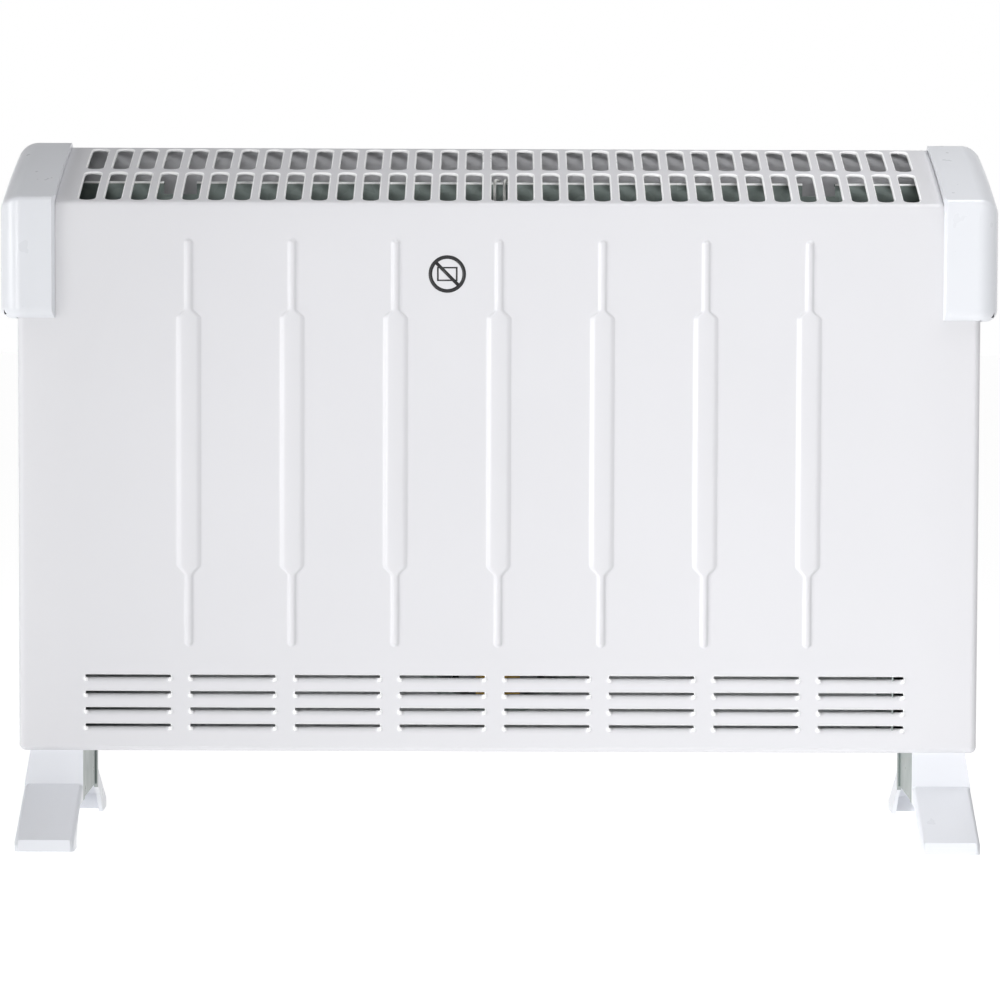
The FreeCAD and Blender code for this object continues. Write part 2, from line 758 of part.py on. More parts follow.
def thermostat_knob():
    """A skirted, fluted knob on a solid spindle."""
    body = new_body("thermostat_knob")
    skirt = sketch_on(body, "YZ_Plane", "panel_floor + 0.6")
    circle(skirt, 0, 0, "dial_radius")
    pad(body, skirt, 3.2)
    grip = sketch_on(body, "YZ_Plane", "panel_floor + 2")
    circle(grip, 0, 0, "dial_grip_radius")
    pad(body, grip, 15)
    front = size("panel_floor + 17")
    dress(body, "Fillet", lambda b: b.XMin > front - 1e-3, 1.5)
    flute = sketch_on(body, "YZ_Plane", "panel_floor + 4.5")
    circle(flute, 0, "dial_grip_radius + 1.1", 2.2)
    groove = pocket(body, flute, 20, reversed_=True)
    turn_round(body, [groove], "X_Axis", 14)
    bore = sketch_on(body, "YZ_Plane", "panel_floor")
    circle(bore, 0, 0, "spindle_radius")
    pocket(body, bore, 12, reversed_=True)
    body.setExpression("Placement.Base.z", bound("dial_height"))
    return body


def switch_body(name, place):
    """A snap-in rocker switch body with an open pocket for its rocker."""
    middle = f"{place} * switch_pitch"
    half, length = "switch_half_width", "switch_half_length"
    shell = box(
        name + "_block", "switch_back", f"{middle} - {half}", f"switch_height - {length}",
        "switch_front", f"{middle} + {half}", f"switch_height + {length}",
    )
    well = box(
        name + "_well", "switch_back + 8", f"{middle} - {half} + 1.5", f"switch_height - {length} + 1",
        "switch_front + 1", f"{middle} + {half} - 1.5", f"switch_height + {length} - 1",
    )
    bore = cylinder(name + "_bore", "y", "switch_pivot", f"{middle} - 10", "switch_height", 1.55, 20)
    return cut(name, shell, fuse(name + "_space", [well, bore]))


def rocker(name, place):
    """A rocker with its two trunnions, tilted to its off position."""
    body = new_body(name)
    sketch = sketch_on(body, "XZ_Plane", "-4.7")
    half = [(-3, -5), (3, -7.6), (6.8, -7.4)]
    crown = [(6.8, 7.4), (3, 7.6), (-3, 5)]
    outline(sketch, half + [(5.2, 0)] + crown)
    pad(body, sketch, 9.4)
    pin = sketch_on(body, "XZ_Plane", "-6.3")
    circle(pin, 0, 0, 1.5)
    pad(body, pin, 12.6)
    body.Placement = Placement(Vector(), Rotation(Vector(0, 1, 0), -9))
    body.setExpression("Placement.Base.x", bound("switch_pivot"))
    body.setExpression("Placement.Base.y", bound(f"{place} * switch_pitch"))
    body.setExpression("Placement.Base.z", bound("switch_height"))
    return body


def controls():
    made = [control_panel(), thermostat_knob()]
    spindle = cylinder("thermostat_spindle", "x", "panel_floor - 14", 0, "dial_height", "spindle_radius", 26)
    block = box(
        "thermostat_block", "panel_floor - 24", -16, "dial_height - 16",
        "panel_floor - panel_wall", 16, "dial_height + 16",
    )
    bore = cylinder("thermostat_bore", "x", "panel_floor - 14.5", 0, "dial_height", "spindle_radius + 0.05", 20)
    made += [spindle, cut("thermostat_body", block, bore)]
    for name, place in (("heat_low", -1), ("heat_high", 0), ("fan", 1)):
        made.append(switch_body(f"switch_body_{name}", place))
        made.append(rocker(f"rocker_{name}", place))
    lens = cylinder("pilot_lamp_lens", "x", "panel_floor", 0, "lamp_height", "lamp_radius", 2)
    made += [lens, cylinder("pilot_lamp_body", "x", "panel_floor - 16", 0, "lamp_height", "lamp_radius - 0.6", 16)]
    return made


# ---- shield, partition and heating element ------------------------------------------------------------


def heat_shield():
    """The upright baffle in the middle of the case, its top edge folded back at a slope."""
    body = new_body("heat_shield")
    sketch = sketch_on(body, "YZ_Plane")
    back = "shield_y + sheet_gauge"
    knee = "shield_top - shield_lip"
    profile = [
        ("shield_y", "shield_bottom"),
        (back, "shield_bottom"),
        (back, f"{knee} - 0.35"),
        (f"{back} + shield_lip - 0.25", f"{knee} + shield_lip - 0.6"),
        (f"{back} + shield_lip - 0.8", "shield_top"),
        ("shield_y", knee),
    ]
    outline(sketch, profile)
    pad(body, sketch, "2 * shield_half_width", midplane=True)
    notches = sketch_on(body, "XZ_Plane", "-20")
    for sign in (-1, 1):
        middle = f"{sign} * shield_notch_x"
        rectangle(notches, f"{middle} - shield_notch / 2", "shield_top - 8", f"{middle} + shield_notch / 2", "shield_top + 2")
    rectangle(notches, "shield_cut_x", "shield_bottom - 1", "shield_half_width + 1", "shield_cut_height")
    pocket(body, notches, 40, reversed_=True)
    return body


def partition():
    """The sheet between the heated space and the controls."""
    plate = box(
        "partition_sheet", "partition_x", "-case_front + sheet_gauge", "case_bottom + 2 * sheet_gauge",
        "partition_x + sheet_gauge", "case_back", "partition_top",
    )
    gap = box(
        "partition_slot", "partition_x - 1", "shield_y - 0.2", "shield_bottom - 1",
        "partition_x + 3", "shield_y + sheet_gauge + 0.2", "partition_top + 1",
    )
    hole = cylinder("partition_hole", "x", "partition_x - 2", 20, 190, 8, 6)
    return cut("partition", plate, fuse("partition_gaps", [gap, hole]))


def coil_runs():
    return [size(f"coil_first_run + {n} * coil_spacing") for n in range(4)]


def element_bracket(label, sign):
    """A steel cheek that carries the ends of the element's rods and terminals."""
    low, high = sorted((sign * size("element_bracket_x"), sign * size("element_bracket_x + 1")))
    plate = box(
        label + "_plate", low, "shield_y + sheet_gauge", "element_bottom", high, "case_back", "element_top",
    )
    holes = []
    if sign > 0:
        for wire, y in enumerate(("coil_low_y", "coil_high_y")):
            for run in (0, 3):
                place = f"coil_first_run + {run} * coil_spacing"
                name = f"{label}_hole_{wire}_{run}"
                holes.append(cylinder(name, "x", low - 2, y, place, 3.6, 6))
    for place, height in enumerate(("rod_low", "rod_high")):
        holes.append(cylinder(f"{label}_rod_{place}", "x", low - 2, "rod_y", height, "rod_radius", 6))
    return cut(label, plate, fuse(label + "_holes", holes))


def coil(label, y):
    """One heating coil, wound to and fro through the cards; drawn as the tube it fills."""
    reach = size("coil_reach")
    heights = coil_runs()
    end = size("element_bracket_x - 7")
    points = [(end, size(y), heights[0])]
    for number, (below, above) in enumerate(zip(heights, heights[1:])):
        turn = -reach - 8 if number % 2 == 0 else reach - 8
        points += [(turn, size(y), below), (turn, size(y), above)]
    points.append((end, size(y), heights[-1]))
    return tube(label, points, size("coil_radius"), 5)


def element_terminals():
    """Ceramic bushings through the right-hand bracket, one at each coil end."""
    bushings = []
    for wire, y in enumerate(("coil_low_y", "coil_high_y")):
        for run in (0, 3):
            place = f"coil_first_run + {run} * coil_spacing"
            name = f"bushing_{wire}_{run}"
            neck = cylinder(name + "_neck", "x", "element_bracket_x - 7", y, place, 3.5, 15)
            collar = cylinder(name + "_collar", "x", "element_bracket_x + 1", y, place, 5, 3)
            bushings.append(fuse(name, [neck, collar]))
    return group("element_terminals", bushings)


def element():
    made = [heat_shield(), partition()]
    arms = []
    for number, sign in enumerate((-1, 1)):
        low, high = sorted((sign * 254, sign * 255.2))
        arms.append(box(f"arm_{number}", low, "shield_y + sheet_gauge", 304, high, "case_back", 334))
    made.append(group("shield_arms", arms))
    made += [element_bracket("element_bracket_left", -1), element_bracket("element_bracket_right", 1)]
    rods = []
    for number, height in enumerate(("rod_low", "rod_high")):
        length = "2 * element_bracket_x + 2"
        rods.append(cylinder(f"rod_{number}", "x", "-element_bracket_x - 1", "rod_y", height, "rod_radius", length))
    made.append(group("element_rods", rods))
    return made


def mica_card_node():
    """The seven cards as seven solids."""
    cards = []
    for number in range(int(size("card_count"))):
        x = f"({number} - (card_count - 1) / 2) * card_pitch - card_gauge / 2"
        name = f"card_{number}"
        sheet = box(name + "_sheet", x, "coil_low_y - 7.5", "element_bottom + 1",
                    f"{x} + card_gauge", "coil_high_y + 7.5", "element_top - 1")
        holes = []
        for wire, y in enumerate(("coil_low_y", "coil_high_y")):
            for run in range(4):
                place = f"coil_first_run + {run} * coil_spacing"
                holes.append(cylinder(f"{name}_w{wire}{run}", "x", f"{x} - 1", y, place, "coil_radius + 0.4", 4))
        for rod, height in enumerate(("rod_low", "rod_high")):
            holes.append(cylinder(f"{name}_rod{rod}", "x", f"{x} - 1", "rod_y", height, "rod_radius", 4))
        cards.append(cut(name, sheet, fuse(name + "_holes", holes)))
    return group("mica_cards", cards)


def thermal_cutout():
    """The safety cut-out on the front of the shield, and its two leads looped over the top edge."""
    body = box("thermal_cutout", -9, "shield_y - 6", 370, 9, "shield_y", 383)
    leads = []
    for number, x in enumerate((-3, 3)):
        y = size("shield_y")
        path = [(x, y - 3, 383), (x, y - 3, 399.4), (x + 3, y + 6, 399.4), (x + 3, y + 6, 330)]
        leads.append(tube(f"lead_{number}", path, 0.9, 2.2))
    return [body, group("cutout_leads", leads)]


# ---- fan and motor ------------------------------------------------------------------------------------


def fan_impeller():
    """A hub with pitched blades; it turns about the heater's front-to-back axis."""
    front, back = size("hub_front"), size("hub_back")
    height = size("fan_height")
    forward = Vector(0, 1, 0)
    hub = Part.makeCylinder(size("hub_radius"), back - front, Vector(0, front, height), forward)
    hub = hub.makeFillet(1.5, [hub.Edges[0]])
    shape = hub
    count = int(size("blade_count"))
    reach = size("blade_reach")
    for number in range(count):
        root = Part.makeBox(reach, 20, 1.4, Vector(0, -10, -0.7))
        corner = Part.makeCylinder(reach, 30, Vector(0, 0, -15))
        blade = root.common(corner)
        blade.rotate(Vector(), Vector(1, 0, 0), 35)
        turned = Rotation(forward, 360 * number / count)
        blade.Placement = Placement(Vector(0, (front + back) / 2, height), turned).multiply(blade.Placement)
        shape = shape.fuse(blade)
    bore = Part.makeCylinder(size("shaft_radius"), 40, Vector(0, front - 5, height), forward)
    return solid("fan_impeller", shape.cut(bore))


def motor():
    """A small shaded-pole motor between two bearing bridges, hung on a strap across the fan's shroud."""
    centre = "fan_height"
    made = [cylinder("motor_shaft", "y", 0, -21, centre, "shaft_radius", 66)]
    drum = cylinder("rotor_drum", "y", 0, -7, centre, 12.8, 16)
    made.append(cut("motor_rotor", drum, cylinder("rotor_bore", "y", 0, -8, centre, "shaft_radius", 18)))
    stack = box("stator_stack", -24, -6, f"{centre} - 40", 24, 8, f"{centre} + 21")
    bore = cylinder("stator_bore", "y", 0, -8, centre, 13.3, 20)
    window = box("stator_window", -14, -8, f"{centre} - 30", 14, 12, f"{centre} - 17")
    bolts = [cylinder(f"stator_bolt_{n}", "y", x, -8, centre, 1.7, 20) for n, x in enumerate((-19, 19))]
    made.append(cut("motor_stator", stack, fuse("stator_spaces", [bore, window] + bolts)))
    bobbin = box("coil_bobbin", -13.6, -14, f"{centre} - 49", 13.6, 16, f"{centre} - 17.4")
    leg = box("coil_leg", -30, -6.2, f"{centre} - 40.2", 30, 8.2, f"{centre} - 29.8")
    made.append(cut("motor_coil", bobbin, leg))
    for label, bar_y, post_y, post_length in (("front", -18, -15, 9), ("rear", 15, 8, 7)):
        name = "motor_bridge_" + label
        bar = box(name + "_bar", -24, bar_y, f"{centre} - 7", 24, bar_y + 3, f"{centre} + 7")
        posts = [cylinder(f"{name}_post_{n}", "y", x, post_y, centre, 4, post_length) for n, x in enumerate((-19, 19))]
        holes = [cylinder(f"{name}_seat", "y", 0, bar_y - 2, centre, 5, 8)]
        for number, x in enumerate((-19, 19)):
            holes.append(cylinder(f"{name}_hole_{number}", "y", x, -30, centre, 1.7, 60))
        made.append(cut(name, fuse(name + "_frame", [bar] + posts), fuse(name + "_holes", holes)))
    bearings = []
    for number, start in enumerate((-20, 14)):
        ring = cylinder(f"bearing_{number}_ring", "y", 0, start, centre, 5, 6)
        bearings.append(cut(f"bearing_{number}", ring, cylinder(f"bearing_{number}_bore", "y", 0, start - 1, centre, 2.04, 9)))
    made.append(group("motor_bearings", bearings))
    return made


def shroud():
    """The ring round the impeller and the strap that carries the motor."""
    centre = "fan_height"
    ring = cylinder("shroud_tube", "y", 0, 19.5, centre, "shroud_radius + 1.5", "case_back - 19.5")
    collar = cylinder("shroud_collar", "y", 0, "case_back - 1.5", centre, "shroud_radius + 10", 1.5)
    holes = [cylinder("shroud_space", "y", 0, 10, centre, "shroud_radius", 60)]
    for number, angle in enumerate(range(45, 360, 90)):
        x = 58 * math.cos(math.radians(angle))
        z = 58 * math.sin(math.radians(angle))
        holes.append(cylinder(f"shroud_hole_{number}", "y", f"{x:.3f}", 40, f"{centre} + {z:.3f}", "screw_hole", 20))
    made = [cut("fan_shroud", fuse("shroud_body", [ring, collar]), fuse("shroud_holes", holes))]
    bar = box("strap_bar", "-shroud_radius - 1.5", 18, f"{centre} - 7", "shroud_radius + 1.5", 19.5, f"{centre} + 7")
    spaces = [cylinder("strap_seat", "y", 0, 10, centre, 5.2, 20)]
    spaces += [cylinder(f"strap_hole_{n}", "y", x, 10, centre, 1.7, 20) for n, x in enumerate((-19, 19))]
    made.append(cut("motor_strap", bar, fuse("strap_holes", spaces)))
    return made


# ---- mains inlet and wiring ---------------------------------------------------------------------------


def cable_gland():
    """The cord gland low at the back: a flanged bush and its inner nut."""
    x, z = "gland_x", "gland_height"
    flange = cylinder("gland_flange", "y", x, "case_front", z, 10, 4)
    sleeve = cylinder("gland_sleeve", "y", x, 40, z, 6, 14)
    tail = Part.makeCone(7, 5, 14, Vector(size(x), size("case_front + 4"), size(z)), Vector(0, 1, 0))
    tail_part = solid("gland_tail", tail)
    nut = cylinder("gland_nut", "y", x, "case_back - 5", z, 9, 5)
    bore = cylinder("gland_bore_space", "y", x, 30, z, "gland_bore", 50)
    return cut("cable_gland", fuse("gland_body", [flange, sleeve, tail_part, nut]), bore)


def terminal_block():
    """A three-way connector block standing on the bottom plate."""
    base = box("block_base", 246, 2, "case_bottom + 2 * sheet_gauge", 279, 20, 72)
    wells = [cylinder(f"block_well_{n}", "z", 252 + 10.5 * n, 11, 64, 3, 12) for n in range(3)]
    return cut("terminal_block", base, fuse("block_wells", wells))


def wiring():
    """The wires between terminals, switches, thermostat and element."""
    x_end = size("element_bracket_x + 8")
    low_y, high_y = size("coil_low_y"), size("coil_high_y")
    first, last = coil_runs()[0], coil_runs()[-1]
    back = size("switch_back")
    middle = size("switch_height")
    wires = {
        "wire_heat_low": [(x_end, low_y, first), (230, low_y, first), (230, 18, 190), (246, 18, 190),
                          (246, -19, middle), (back, -19, middle)],
        "wire_heat_high": [(x_end, high_y, first), (230, high_y, first), (230, 22.5, 190), (243, 22.5, 190),
                           (243, 0, middle), (back, 0, middle)],
    }
    made = [tube(label, path, 1.2, 3) for label, path in wires.items()]
    return made


def fixings():
    """All the screws, in one node per joint."""
    half_reach, x_foot = size("foot_screw_reach"), size("foot_screw_x")
    deck = size("case_bottom - foot_wall")
    feet = [(sx * x_foot, sy * half_reach, deck) for sx in (-1, 1) for sy in (-1, 1)]
    made = [screws("foot_screws", feet, (0, 0, 1), 9)]
    back = size("case_front")
    x_back = size("back_screw_x")
    places = [(s * x_back, back, z) for s in (-1, 1) for z in (90, 300)]
    for angle in range(45, 360, 90):
        turn = math.radians(angle)
        places.append((58 * math.cos(turn), back, size("fan_height") + 58 * math.sin(turn)))
    made.append(screws("rear_panel_screws", places, (0, -1, 0), 6))
    x_cap = size("cap_screw_x")
    places = [(s * x_cap, size("cap_depth"), z) for s in (-1, 1) for z in (330, 408)]
    made.append(screws("end_cap_screws", places, (0, -1, 0), 8))
    height = size("fan_height")
    made.append(screws("motor_screws", [(-19, -18, height), (19, -18, height)], (0, 1, 0), 40))
    return made


# ---- everything together ------------------------------------------------------------------------------


def build():
    cap = end_cap()
    right_foot = foot()
    nodes = [front_panel(), rear_panel(), rear_panel_tabs(), bottom_plate()]
    nodes += [cap, mirrored("end_cap_left", cap), right_foot, mirrored("foot_left", right_foot)]
    nodes += controls()
    nodes += element()
    nodes += [mica_card_node(), coil("heating_coil_low", "coil_low_y"), coil("heating_coil_high", "coil_high_y")]
    nodes.append(element_terminals())
    nodes += thermal_cutout()
    nodes += [fan_impeller()] + motor() + shroud()
    nodes += [cable_gland(), terminal_block()]
    nodes += wiring() + fixings()
    return nodes


def export(nodes):
    doc.recompute()
    for item in doc.Objects:
        if {"Invalid", "Error"} & set(item.State):
            raise RuntimeError(f"{item.Label} did not compute: {item.State}")
    os.makedirs(PARTS, exist_ok=True)
    for node in nodes:
        shape = node.Shape
        if shape.isNull() or not shape.isValid() or not shape.Solids:
            raise RuntimeError(f"{node.Label} has no valid solid")
        shape.exportStep(os.path.join(PARTS, node.Label + ".step"))
        print(f"{node.Label:24s} solids {len(shape.Solids):3d}  volume {shape.Volume:10.1f}")


export(build())
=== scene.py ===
"""Looks for the fan convector heater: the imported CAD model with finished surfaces, a studio and a camera.

Lengths are millimetres inside the mesh builders and metres on the objects. +X is the heater's right-hand
end seen from the front, the front faces -Y, and the floor is at Z = 0.
"""

import json
import math

import bmesh
import bpy
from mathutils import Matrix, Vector

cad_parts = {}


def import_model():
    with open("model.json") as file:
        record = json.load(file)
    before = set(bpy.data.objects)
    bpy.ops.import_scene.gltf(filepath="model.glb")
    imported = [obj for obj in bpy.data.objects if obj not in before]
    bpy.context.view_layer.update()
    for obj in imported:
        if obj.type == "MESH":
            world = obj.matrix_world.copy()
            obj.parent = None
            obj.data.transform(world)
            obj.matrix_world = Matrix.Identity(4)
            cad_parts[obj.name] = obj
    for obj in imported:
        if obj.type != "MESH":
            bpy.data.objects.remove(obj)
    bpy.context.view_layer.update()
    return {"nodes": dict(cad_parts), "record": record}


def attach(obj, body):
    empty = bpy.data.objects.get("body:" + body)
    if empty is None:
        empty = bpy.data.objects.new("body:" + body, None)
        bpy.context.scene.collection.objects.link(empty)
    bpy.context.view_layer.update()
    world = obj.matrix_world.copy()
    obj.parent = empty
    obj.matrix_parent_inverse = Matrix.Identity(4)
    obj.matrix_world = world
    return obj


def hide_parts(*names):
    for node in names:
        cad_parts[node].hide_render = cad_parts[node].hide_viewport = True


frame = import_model()

MM = 0.001
ROOT = "heater"

# Sizes that the CAD model is built to, in millimetres.
HALF_WIDTH = 289.5
FRONT = -50.0
BACK = 49.2
BOTTOM = 54.0
CREASE = 384.8
TOP_BACK = 420.0
TOP_RADIUS = 800.0
FOLD = 4.2
TOP_FOLD = 3.0
TOP_FOLD_TURN = math.radians(66.3)
SHEET = 0.7


# ---- top sheet's curve --------------------------------------------------------------------------------


def circle_through(a, b, radius):
    """Centre of the circle of that radius through two (y, z) points that bulges upwards between them."""
    middle = ((a[0] + b[0]) / 2, (a[1] + b[1]) / 2)
    chord = math.dist(a, b)
    drop = math.sqrt(radius**2 - (chord / 2) ** 2)
    along = ((b[0] - a[0]) / chord, (b[1] - a[1]) / chord)
    return middle[0] + along[1] * drop, middle[1] - along[0] * drop


TOP_CENTRE = circle_through((FRONT, CREASE), (BACK, TOP_BACK), TOP_RADIUS)


def top_height(y):
    return TOP_CENTRE[1] + math.sqrt(TOP_RADIUS**2 - (y - TOP_CENTRE[0]) ** 2)


def top_point(x, y, depth=0.0):
    """A point of the top sheet, sunk by depth along the sheet's normal."""
    z = top_height(y)
    normal = ((y - TOP_CENTRE[0]) / TOP_RADIUS, (z - TOP_CENTRE[1]) / TOP_RADIUS)
    return x, y - normal[0] * depth, z - normal[1] * depth


# ---- mesh helpers -------------------------------------------------------------------------------------


class Sheet:
    """A mesh put together from points in millimetres; points that coincide are welded at the end."""

    def __init__(self):
        self.points = []
        self.faces = []
        self.slots = []
        self.slot = 0

    def add(self, point):
        self.points.append(tuple(point))
        return len(self.points) - 1

    def face(self, points):
        self.faces.append([self.add(p) for p in points])
        self.slots.append(self.slot)

    def grid(self, rows, closed=False, skip=None):
        """Quads between rows of points of equal length."""
        numbers = [[self.add(p) for p in row] for row in rows]
        for r in range(len(rows) - 1):
            count = len(rows[r])
            for c in range(count if closed else count - 1):
                if skip and skip(r, c):
                    continue
                n = (c + 1) % count
                self.faces.append([numbers[r][c], numbers[r][n], numbers[r + 1][n], numbers[r + 1][c]])
                self.slots.append(self.slot)

    def make(self, name, smooth_angle=40, weld=0.005):
        mesh = bpy.data.meshes.new(name)
        mesh.from_pydata([Vector(p) * MM for p in self.points], [], self.faces)
        mesh.polygons.foreach_set("material_index", self.slots)
        bm = bmesh.new()
        bm.from_mesh(mesh)
        bmesh.ops.remove_doubles(bm, verts=bm.verts, dist=weld * MM)
        bmesh.ops.recalc_face_normals(bm, faces=bm.faces)
        bm.to_mesh(mesh)
        bm.free()
        piece = bpy.data.objects.new(name, mesh)
        bpy.context.scene.collection.objects.link(piece)
        smooth(piece, smooth_angle)
        return piece


def smooth(piece, angle=40):
    """Smooth shading, with edges sharper than the angle kept crisp."""
    mesh = piece.data
    for polygon in mesh.polygons:
        polygon.use_smooth = True
    bm = bmesh.new()
    bm.from_mesh(mesh)
    limit = math.radians(angle)
    for edge in bm.edges:
        edge.smooth = len(edge.link_faces) != 2 or edge.calc_face_angle(0) < limit
    bm.to_mesh(mesh)
    bm.free()


def thicken(piece, name, thickness, offset=0):
    """A Solidify modifier of that thickness: about the surface at offset 0, inwards at -1."""
    thick = piece.modifiers.new(name, "SOLIDIFY")
    thick.thickness = thickness * MM
    thick.offset = offset
    return thick


def linspace(a, b, count):
    return [a + (b - a) * n / (count - 1) for n in range(count)]


def smoothstep(value):
    value = min(1.0, max(0.0, value))
    return value * value * (3 - 2 * value)


# ---- the case's folded front sheet --------------------------------------------------------------------

SLOT_PITCH, SLOT_COUNT, SLOT_WIDTH = 15.5, 33, 9.8
SLOT_ROWS = ((-47.4, -45.4, -1.2, 1.9), (1.9, 5.0, 46.2, 48.0))
SLOT_RIM = ((1.3, 0.0), (0.95, 0.03), (0.6, 0.14), (0.3, 0.34), (0.1, 0.66), (0.0, 1.1), (0.0, 1.7))
SLOT_END, SLOT_SQUARE = 4.1, 0.8
# The rims, slit lips and dimples take a brighter copy of the case's white coat: a painted highlight.
RIM = 2  # material slot of the rolled rims; each outer slot is followed by the inner side's

RIB_PITCH, RIB_COUNT = 62.15, 7
RIB_LOW, RIB_HIGH = 118.1, 363.0
RIB_THIN, RIB_WIDE = 2.2, 6.9
RIB_STEPS = (160.5, 167.2, 315.8, 321.4)
RIB_SECTION = (
    (0.8, 0.0), (0.5, 0.05), (0.2, 0.2), (-0.15, 0.46),
    (-0.5, 0.78), (-0.85, 1.03), (-1.2, 1.16), (-1.55, 1.2),
)
RIB_BLOCK = (108.0, 372.0)

LOUVRE_PITCH, LOUVRE_COUNT, LOUVRE_LENGTH, LOUVRE_SHIFT = 63.2, 8, 51.5, -2.0
LOUVRE_TOPS = (100.5, 90.57, 80.64, 70.71)
LOUVRE_DROP, LOUVRE_GAP, LOUVRE_REACH = 6.2, 1.5, 2.4
LOUVRE_CURL = ((0.0, 0.5), (0.22, 0.14), (0.6, 0.0))
DIMPLE_HEIGHT, DIMPLE_RADIUS, DIMPLE_DROP = 1.0, 1.2, 2.5
LOUVRE_BLOCK = (62.5, 104.5)

FLAT_X = 254.0
SIDE_LINES = (BACK, 31.0, -31.0, FRONT + FOLD)
SIDE_HEIGHTS = (BOTTOM + 4.0, 127.0, 273.0, 335.0)


def slot_loop(x, low, high, grow):
    """Points round a slot grown by that much, in four runs: left side up, top, right side down, bottom."""
    half, reach = SLOT_WIDTH / 2 + grow, SLOT_END + grow
    low, high = low - grow + reach, high + grow - reach
    end = []
    for n in range(13):
        turn = math.pi * n / 12
        across = abs(math.cos(turn)) ** SLOT_SQUARE * math.copysign(1, math.cos(turn))
        end.append((half * across, reach * math.sin(turn) ** SLOT_SQUARE))
    left = [(x - half, y) for y in linspace(low, high, 7)]
    top = [(x - px, high + rise) for px, rise in end]
    right = [(x + half, y) for y in linspace(high, low, 7)]
    bottom = [(x + px, low - rise) for px, rise in end]
    return left, top, right, bottom


def slot_cell(sheet, x, y0, low, high, y1):
    """One slot with its rolled rim, and the plain sheet round it up to its neighbours' cells."""
    left, top, right, bottom = slot_loop(x, low, high, 0)
    cell_left, cell_right = x - SLOT_PITCH / 2, x + SLOT_PITCH / 2
    edge = [(cell_left, y) for y in linspace(y0, y1, len(left))][:-1]
    edge += [(px, y1) for px in linspace(cell_left, cell_right, len(top))][:-1]
    edge += [(cell_right, y) for y in linspace(y1, y0, len(right))][:-1]
    edge += [(px, y0) for px in linspace(cell_right, cell_left, len(bottom))][:-1]
    loops = [[top_point(px, py) for px, py in edge]]
    for grow, depth in SLOT_RIM:
        loop = []
        for run in slot_loop(x, low, high, grow):
            loop += run[:-1]
        loops.append([top_point(px, py, depth) for px, py in loop])
    sheet.grid(loops[:3], closed=True)
    # The rolled rim takes the brighter white painted highlight.
    sheet.slot = RIM
    sheet.grid(loops[2:], closed=True)
    sheet.slot = 0


def top_lines(row):
    """The y values at which a row of cells meets its neighbours."""
    return linspace(SLOT_ROWS[row][0], SLOT_ROWS[row][-1], 7)


def slot_x(number):
    return (number - (SLOT_COUNT - 1) / 2) * SLOT_PITCH


def cell_edge_x():
    """Every x at which the top cells' front edges have a point."""
    xs = []
    for number in range(SLOT_COUNT):
        x = slot_x(number)
        run = linspace(x - SLOT_PITCH / 2, x + SLOT_PITCH / 2, 13)
        xs += run[:-1]
    return xs + [slot_x(SLOT_COUNT - 1) + SLOT_PITCH / 2]


def rib_x(number):
    return (number - (RIB_COUNT - 1) / 2) * RIB_PITCH


def rib_half(z, grow):
    """Half the rib's width at a height."""
    a, b, c, d = RIB_STEPS
    share = smoothstep((z - a) / (b - a)) * (1 - smoothstep((z - c) / (d - c)))
    spread = 1 + 0.9 * share if grow < 0 else 1
    return RIB_THIN + (RIB_WIDE - RIB_THIN) * share + grow * spread


def rib_heights():
    a, b, c, d = RIB_STEPS
    zs = linspace(RIB_LOW + RIB_THIN, a, 5) + linspace(a, b, 9)[1:] + linspace(b, c, 9)[1:]
    return zs + linspace(c, d, 9)[1:] + linspace(d, RIB_HIGH - RIB_THIN, 5)[1:]


def block_heights():
    """The rib's heights spread over the whole height of its cell."""
    zs = rib_heights()
    low, high = RIB_BLOCK
    return [low + (z - zs[0]) / (zs[-1] - zs[0]) * (high - low) for z in zs]


def rib_loop(x, grow):
    zs = rib_heights()
    radius = RIB_THIN + grow
    left = [(x - rib_half(z, grow), z) for z in zs]
    right = [(x + rib_half(z, grow), z) for z in reversed(zs)]
    arc = [(radius * math.cos(math.pi * n / 10), radius * math.sin(math.pi * n / 10)) for n in range(11)]
    top = [(x - across, zs[-1] + up) for across, up in arc]
    bottom = [(x + across, zs[0] - up) for across, up in arc]
    return left, top, right, bottom


def rib_cell(sheet, x):
    """One pressed rib and the flat sheet round it."""
    low, high = RIB_BLOCK
    _, top, _, bottom = rib_loop(x, 0)
    a, b = x - RIB_PITCH / 2, x + RIB_PITCH / 2
    edge = [(a, z) for z in block_heights()][:-1]
    edge += [(px, high) for px in linspace(a, b, len(top))][:-1]
    edge += [(b, z) for z in reversed(block_heights())][:-1]
    edge += [(px, low) for px in linspace(b, a, len(bottom))][:-1]
    loops = [[(px, FRONT, pz) for px, pz in edge]]
    near = []
    for run in rib_loop(x, 2.6):
        near += run[:-1]
    loops.append([(px, FRONT, pz) for px, pz in near])
    for grow, height in RIB_SECTION:
        loop = []
        for run in rib_loop(x, grow):
            loop += run[:-1]
        loops.append([(px, FRONT - height, pz) for px, pz in loop])
    sheet.grid(loops, closed=True)
    inner, height = RIB_SECTION[-1]
    left, top, right, bottom = rib_loop(x, inner)
    depth = FRONT - height
    crown = depth - 0.05
    spine = [(x, crown, z) for _, z in left]
    sheet.grid([[(px, depth, pz) for px, pz in left], spine, [(px, depth, pz) for px, pz in reversed(right)]])
    fan_top = [(px, depth, pz) for px, pz in top]
    fan_bottom = [(px, depth, pz) for px, pz in bottom]
    for run, centre in ((fan_top, spine[-1]), (fan_bottom, spine[0])):
        for n in range(len(run) - 1):
            sheet.face([run[n], run[n + 1], centre])


def louvre_x(number):
    return LOUVRE_SHIFT + (number - (LOUVRE_COUNT - 1) / 2) * LOUVRE_PITCH


